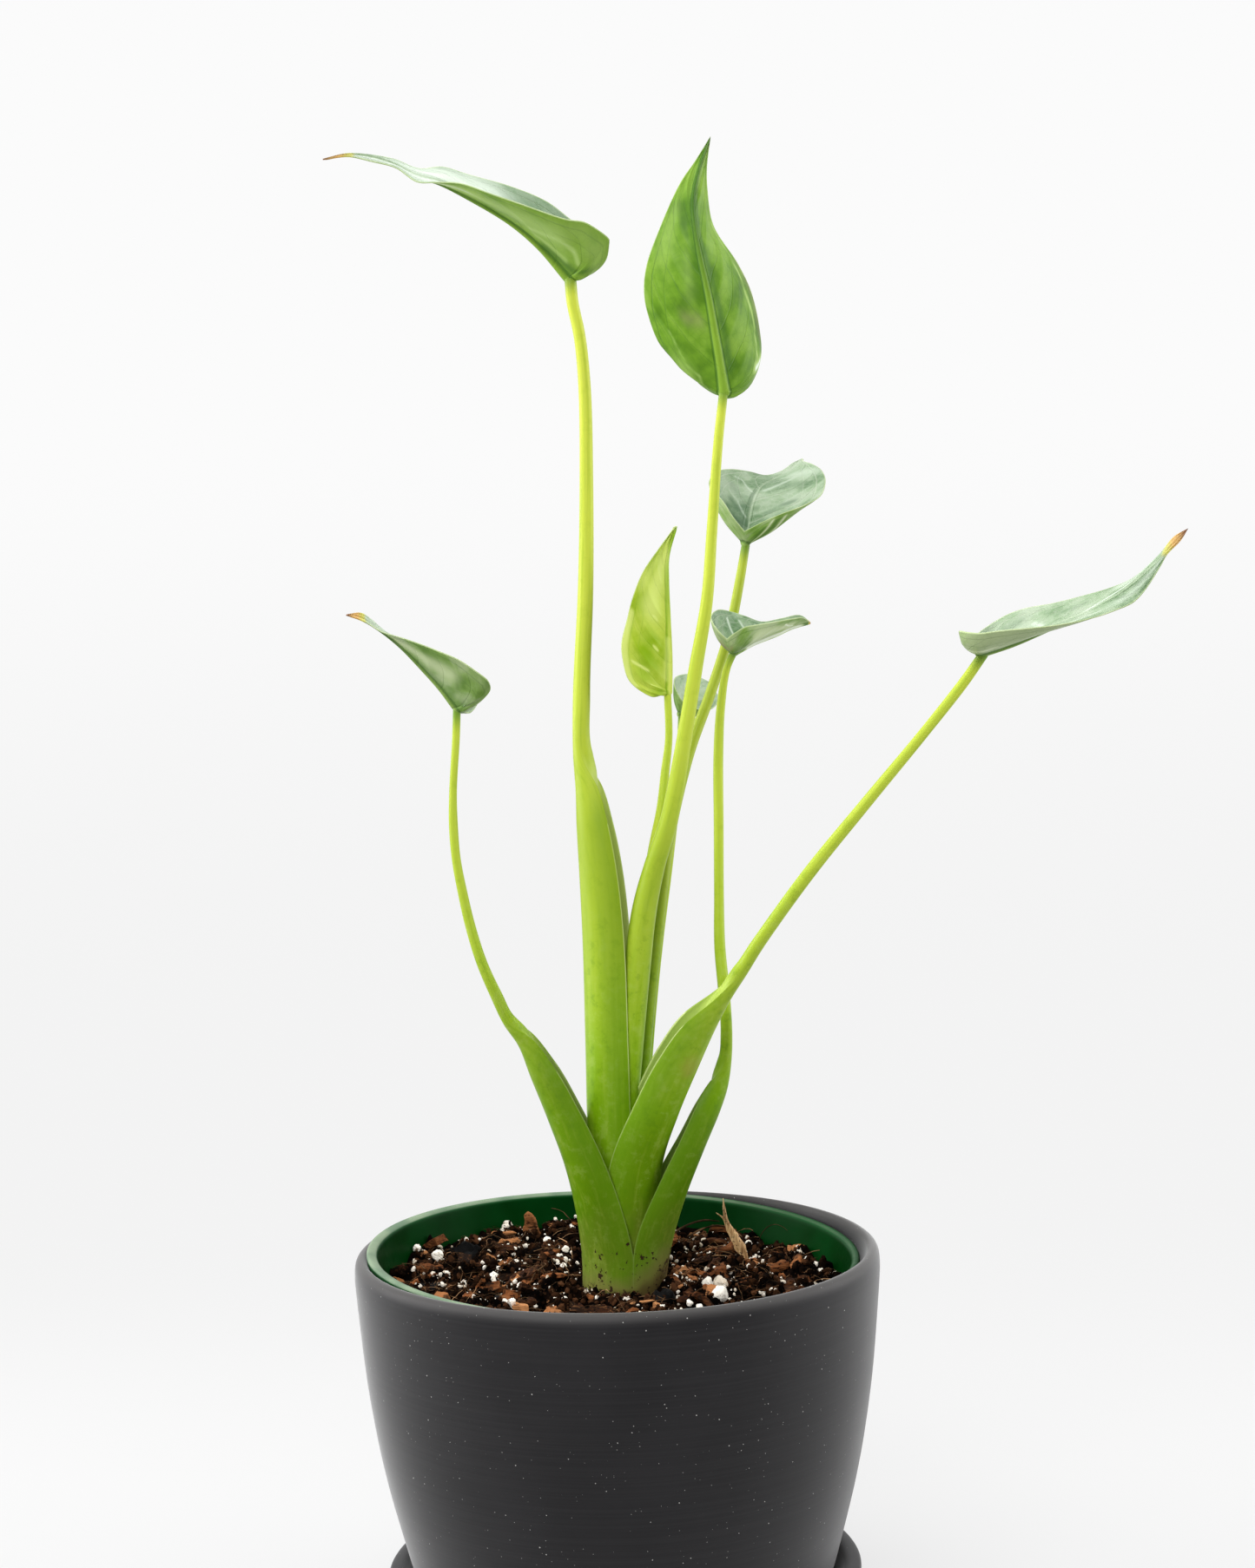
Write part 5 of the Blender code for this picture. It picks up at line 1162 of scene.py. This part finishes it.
def leaf_blade(name, finish, keel_radius, strokes, at, notch, tip, midrib, left, right, cups, veins, dried=0,
               young=0, tone=(0, 0)):
    """A closed, thin blade with swells between its veins, a keel below its midrib and a groove above it."""
    share = np.linspace(0, 1, BLADE_RIBS)
    root_share = np.clip((share - BLADE_FAN) / (1 - BLADE_FAN), 0, 1) ** 1.1
    roots = along([(0, 0, 0), *midrib, tip], root_share)
    halves = [half_blade([notch, *margin, tip], [*cup, 0], sign, share, roots)
              for margin, cup, sign in zip((left, right), cups, (1, -1))]
    halves[0][0] = halves[1][0] = (halves[0][0] + halves[1][0]) / 2
    grid = np.array(halves)
    flat = np.round(grid.reshape(-1, 3), 3)
    points, first, index = np.unique(flat, axis=0, return_index=True, return_inverse=True)
    index = index.reshape(grid.shape[:3])
    faces = []
    for side in (0, 1):
        for i in range(BLADE_RIBS - 1):
            for j in range(len(BLADE_STEPS) - 1):
                a, b = index[side, i, j], index[side, i + 1, j]
                c, d = index[side, i + 1, j + 1], index[side, i, j + 1]
                for face in ((a, b, c), (a, c, d)):
                    if len(set(face)) == 3:
                        faces.append(face[::-1] if side else face)
    faces = np.array(faces)
    normals = evened_normals(points, faces)

    # How far each point is along the ribs and across the half, in shares and in millimetres.
    def chosen(values):
        return np.broadcast_to(values, grid.shape[:3]).reshape(-1)[first]

    span = np.linalg.norm(grid[:, :, -1:] - grid[:, :, :1], axis=-1)
    rib = chosen(share[None, :, None])
    across = chosen(BLADE_STEPS)
    to_mid = chosen(span * BLADE_STEPS)
    to_edge = chosen(span * (1 - BLADE_STEPS))
    pitch = chosen(np.linalg.norm(np.gradient(grid, 1 / (BLADE_RIBS - 1), axis=1), axis=-1)) / veins
    keel_share = chosen(root_share[None, :, None])
    half = chosen(np.array([1.0, -1.0])[:, None, None])

    phase = veins * (rib - VEIN_SWEEP[0] * across - VEIN_SWEEP[1] * across ** 3)
    pillow = np.abs(np.sin(math.pi * phase)) ** 0.8 * np.clip(across * 4, 0, 1)
    pillow *= np.clip((1 - across) * 5, 0, 1) * np.clip(pitch / 6, 0, 1)
    points = points + normals * ((GROWN_SWELL + YOUNG_SWELL * young) * pillow)[:, None]
    keel = keel_radius * (1 - KEEL_TAPER * keel_share) + KEEL_LEAST
    bulge = np.sqrt(np.clip(keel ** 2 - to_mid ** 2, 0, None))
    skirt = SKIRT[0] * keel * np.exp(-(to_mid / (SKIRT[1] * keel)) ** 2)
    thin = np.where(to_edge < EDGE_WIDTH, EDGE_SHARE, 1.0) * BLADE_THICKNESS / 2
    groove = GROOVE[0] * keel * np.exp(-(to_mid / (GROOVE[1] * keel)) ** 2)
    groove *= np.clip(keel_share * 8, 0, 1)
    upper = points + normals * (thin - groove)[:, None] + np.array(at)
    lower = points - normals * (thin + np.maximum(bulge, skirt))[:, None] + np.array(at)
    count = len(points)
    open_sides = {}
    for face in faces:
        for a, b in ((face[0], face[1]), (face[1], face[2]), (face[2], face[0])):
            if open_sides.pop((b, a), None) is None:
                open_sides[(a, b)] = True
    shell = [tuple(face) for face in faces] + [tuple(face[::-1] + count) for face in faces]
    shell += [(b, a, a + count, b + count) for a, b in open_sides]
    piece = solid_piece(name, np.vstack([upper, lower]), shell, finish)

    dry = np.clip((rib - 1 + dried) / max(dried, 0.001), 0, 1) * (dried > 0)
    marks = dict(rib=rib, across=across, to_mid=to_mid, to_edge=to_edge, pitch=pitch, dried=dry, phase=phase,
                 half=half, keel=keel, keel_share=keel_share)
    marks = {label: np.tile(values, 2) for label, values in marks.items()}
    under = np.repeat((0.0, 1.0), count)
    for kind in ("light", "deep", "worn"):
        marks[kind] = stroked(strokes, kind, marks["rib"], marks["across"], marks["half"], under)
    mark(piece.data, under=under, tone=np.repeat(tone, count), **marks)
    return piece


def vein_pattern():
    """Node group: the side veins, the veins along the margin, streaks that follow them and the fine net."""
    tree = bpy.data.node_groups.new("vein pattern", "ShaderNodeTree")
    labels = ("rib", "across", "to_mid", "to_edge", "pitch", "phase", "half", "keel")
    rib, across, to_mid, to_edge, pitch, phase, half, keel = [attribute(tree, label) for label in labels]
    place = add_node(tree, "ShaderNodeTexCoord", out="Object")
    wander = clouds(place, 75.0, 1.0) - 0.5
    drawn_phase = phase + wander * 0.55 + half * 0.11
    off = abs(maths("FRACT", drawn_phase) - 0.5) * pitch
    veins = between(off, between(across, 0.0, 0.95, 0.60, 0.22), 0.02, easing="LINEAR")
    drift = across + wander * 0.06
    outer = between(abs(drift - 0.875), 0.016, 0.003)
    second = between(abs(drift - 0.68), 0.014, 0.003, 0, 0.6)
    flow = add_node(tree, "ShaderNodeCombineXYZ", {0: phase * 2.6, 1: across * 1.1, 2: half * 3.0})
    drawn = {
        "Veins": veins * between(across, 0.93, 0.84),
        "Collector": maths("MAXIMUM", outer, second),
        "Net": between(cells(place, 420.0, feature="DISTANCE_TO_EDGE"), 0.09, 0.01),
        "Margin": between(to_edge, 0.30, 0.14),
        "Streaks": clouds(flow, 1.0, 4.0),
        "Crease": between(abs(to_mid / keel - 1.05), 0.42, 0.05)}
    for name in drawn:
        tree.interface.new_socket(name, in_out="OUTPUT", socket_type="NodeSocketFloat")
    add_node(tree, "NodeGroupOutput", drawn)
    return tree


def leaf_material(name, group, upper, under, vein, ridge, crease, wax, gloss, glow, shine, deep):
    """A leaf's two sides, each from deep to light, with its veins, pale margin and dried tip, painted sheen
    on the upper side, and painted highlights and shade from its strokes and in the crease beside the keel.
    """
    material, tree, place = blank_material(name)
    lines = add_node(tree, "ShaderNodeGroup", node_tree=group)
    low_side, to_mid, dried, keel, keel_share, shift, light, dark, worn = [
        attribute(tree, label)
        for label in ("under", "to_mid", "dried", "keel", "keel_share", "tone", "light", "deep", "worn")]
    cloud = clouds(place, 80.0, 3.0)
    grain = clouds(place, 520.0, 2.0)
    # The blade's tone shift moves each side along its ramp; on several blades it is painted light and shade.
    tone = between(cloud * 0.72 + lines["Streaks"] * 0.28, 0.34, 0.66) + shift
    below = between(low_side, 0.3, 0.7)
    stops = (0.0, 0.45, 1.0)
    top = painted(
        ramp(tone, *zip(stops, upper)),
        net=(lines["Net"] * 0.14, vein),
        veins=(lines["Veins"] * 0.34, vein),
        collector=(lines["Collector"] * 0.38, vein),
        midrib=(between(to_mid, 0.9, 0.3, 0, 0.25), vein),
        # partly waxy bloom and partly painted sheen: pale grains on the upper side
        wax=(between(grain, 0.40, 0.75, 0, 0.14), wax))
    ridge_or_crease = mixed(between(keel_share, 0.10, 0.75), ridge, crease)
    low = painted(
        ramp(tone, *zip(stops, under)),
        net=(lines["Net"] * 0.12, crease),
        veins=(lines["Veins"] * 0.22, crease),
        collector=(lines["Collector"] * 0.42, crease),
        keel=(between(to_mid / keel, 1.15, 0.75, 0, 0.85), ridge_or_crease),
        # painted shade: the crease beside the keel is darkened; the same dark green draws the underside's
        # veins
        crease=(lines["Crease"] * 0.75, crease))
    dry = (dried + (cloud - 0.5) * 0.5) * between(dried, 0.0, 0.12)
    body = painted(
        mixed(below, top, low),
        # painted light and shade from the strokes: shade where the deep ones are, glow and highlight where
        # the light ones are
        deep=(dark * 0.85, mixed(below, deep, crease)),
        glow=(between(light, 0, 0.65), mixed(below, *glow)),
        shine=(between(light, 0.6, 1.0), shine),
        worn=(worn, (0.27, 0.25, 0.125)),
        margin=(lines["Margin"] * 0.55, (0.54, 0.63, 0.34)),
        yellowed=(between(dry, 0.02, 0.25), (0.52, 0.50, 0.10)),
        dried=(between(dry, 0.25, 0.55), (0.60, 0.36, 0.11)),
        tip=(between(dry, 0.66, 1.0), (0.24, 0.105, 0.045)))
    ridges = lines["Veins"] + lines["Net"] * 0.10 + lines["Collector"] * 0.7
    ridges = ridges * between(low_side, 0.3, 0.7, -1.0, -0.4) - lines["Crease"]
    relief = bump(grain, 0.08, 0.0001, Normal=bump(ridges, 0.6, 0.00032))
    return coated(material, {
        "Base Color": body, "Roughness": between(grain, 0.3, 0.7, 0.36, 0.46),
        "Specular IOR Level": between(low_side, 0.3, 0.7, gloss, 0.11), "Normal": relief})


pattern = vein_pattern()
# The upper side's pale grey-green is partly the leaf's own waxy grey and partly painted sheen, the reflection
# of white surroundings.
grey_upper = ((0.070, 0.165, 0.048), (0.205, 0.310, 0.165), (0.33, 0.41, 0.285))
# glow, shine and deep are the colours of painted light, painted highlight and painted shade.
mature = leaf_material(
    "mature leaf", pattern, upper=grey_upper,
    under=((0.088, 0.185, 0.020), (0.172, 0.290, 0.062), (0.30, 0.38, 0.19)),
    vein=(0.50, 0.58, 0.42), ridge=(0.22, 0.34, 0.07), crease=(0.060, 0.140, 0.022),
    wax=(0.50, 0.55, 0.47), gloss=0.45, glow=((0.44, 0.53, 0.41), (0.42, 0.50, 0.27)),
    shine=(0.74, 0.79, 0.72), deep=(0.030, 0.100, 0.028))
bright = leaf_material(
    "bright leaf", pattern, upper=grey_upper,
    under=((0.062, 0.155, 0.006), (0.118, 0.250, 0.014), (0.195, 0.340, 0.036)),
    vein=(0.44, 0.52, 0.34), ridge=(0.20, 0.34, 0.03), crease=(0.040, 0.120, 0.010),
    wax=(0.46, 0.53, 0.42), gloss=0.45, glow=((0.50, 0.58, 0.48), (0.32, 0.47, 0.12)),
    shine=(0.70, 0.78, 0.66), deep=(0.030, 0.115, 0.026))
young = leaf_material(
    "young leaf", pattern, upper=((0.20, 0.33, 0.006), (0.27, 0.39, 0.010), (0.42, 0.52, 0.06)),
    under=((0.19, 0.33, 0.006), (0.26, 0.385, 0.010), (0.42, 0.52, 0.06)),
    vein=(0.46, 0.56, 0.10), ridge=(0.58, 0.66, 0.12), crease=(0.17, 0.32, 0.004),
    wax=(0.50, 0.60, 0.18), gloss=0.40, glow=((0.55, 0.64, 0.16), (0.55, 0.64, 0.16)),
    shine=(0.78, 0.84, 0.50), deep=(0.15, 0.30, 0.004))
for number, shape in BLADES.items():
    kind = young if number == 7 else bright if number in (1, 2) else mature
    keel_radius = PETIOLES[number]["stalk"][0][3]
    blade = leaf_blade(f"leaf_blade_{number}", kind, keel_radius, STROKES.get(number, {}), **shape)
    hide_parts(f"blade_{number}")
    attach(blade, "root")


# Studio: a white sweep under and behind the plant, soft lights from the left, the right, above and the
# front, and a white booth round it. The camera stands where the photograph was taken.

CAMERA = (7.3, -725.6, 297.5)
CAMERA_DOWN_DEG = 2.0
CAMERA_ROLL_DEG = -1.5
LENS = 51.83
SWEEP_WIDTH = 2.6                   # metres to each side
SWEEP_RADIUS = 0.9                  # metres, of the curve from the floor to the back wall


def studio_sweep():
    """White paper, lit so evenly that it shows no edge; only near the plant does it take shadows."""
    material, tree, place = blank_material("white sweep")
    glow = between(axis(place, 1), 0.15, 0.55, 0.75, 1.0)
    white = between(axis(place, 2), 0.02, 0.62, 0.898, 0.965)
    coated(material, {
        "Base Color": mixed(glow, (0.58, 0.58, 0.58), (0, 0, 0)), "Specular IOR Level": 0, "Roughness": 1.0,
        "Emission Strength": glow * white, "Emission Color": (1, 1, 1)})
    profile = [(-1.6, 0.0), (SWEEP_RADIUS, 0.0)]
    for angle in np.linspace(0.1, math.pi / 2, 14):
        profile.append((SWEEP_RADIUS * (1 + math.sin(angle)), SWEEP_RADIUS * (1 - math.cos(angle))))
    profile.append((2 * SWEEP_RADIUS, 3.2))
    points = [(side, y, z) for y, z in profile for side in (-SWEEP_WIDTH, SWEEP_WIDTH)]
    faces = [(2 * i, 2 * i + 1, 2 * i + 3, 2 * i + 2) for i in range(len(profile) - 1)]
    mesh = bpy.data.meshes.new("sweep")
    mesh.from_pydata(points, [], faces)
    mesh.shade_smooth()
    mesh.materials.append(material)
    sweep = placed("sweep", mesh)


def soft_light(name, place, aim, size, power):
    """A rectangular soft box at a place in metres, aimed at another."""
    light = bpy.data.lights.new(name, "AREA")
    light.shape = "RECTANGLE"
    light.size, light.size_y = size
    light.energy = power
    lamp = placed(name, light)
    lamp.location = place
    lamp.rotation_euler = (Vector(aim) - Vector(place)).to_track_quat("-Z", "Y").to_euler()


def studio_camera():
    lens = bpy.data.cameras.new("camera")
    lens.sensor_fit = "VERTICAL"
    lens.sensor_height = 36.0
    lens.lens = LENS
    lens.clip_start = 0.01
    camera = placed("camera", lens)
    camera.matrix_world = (Matrix.Translation(Vector(CAMERA) * MM)
                           @ Matrix.Rotation(math.radians(90 - CAMERA_DOWN_DEG), 4, "X")
                           @ Matrix.Rotation(math.radians(CAMERA_ROLL_DEG), 4, "Z"))
    bpy.context.scene.camera = camera


def studio_world():
    """White all round the back and the sides, and dim on the camera's side, as in a small white booth."""
    world = bpy.data.worlds.new("studio")
    world.use_nodes = True
    tree = world.node_tree
    toward = add_node(tree, "ShaderNodeTexCoord", out="Generated")
    glow = between(axis(toward, 1), -0.75, 0.15, 0.06, 1.0)
    tree.links.new(glow.socket, tree.nodes["Background"].inputs[1])
    tree.nodes["Background"].inputs[0].default_value = (1, 1, 1, 1)
    bpy.context.scene.world = world


studio_sweep()
studio_world()
soft_light("left softbox", (-1.3, 0.15, 0.7), (0, 0, 0.25), (0.9, 1.3), 17)
soft_light("right softbox", (1.3, 0.15, 0.7), (0, 0, 0.25), (0.9, 1.3), 14)
soft_light("top softbox", (-0.2, 0.05, 1.5), (0, 0, 0.2), (1.2, 1.0), 7)
soft_light("front softbox", (-0.45, -1.15, 1.1), (0, 0, 0.25), (1.1, 0.9), 22)
bpy.context.scene.view_settings.view_transform = "Standard"
studio_camera()
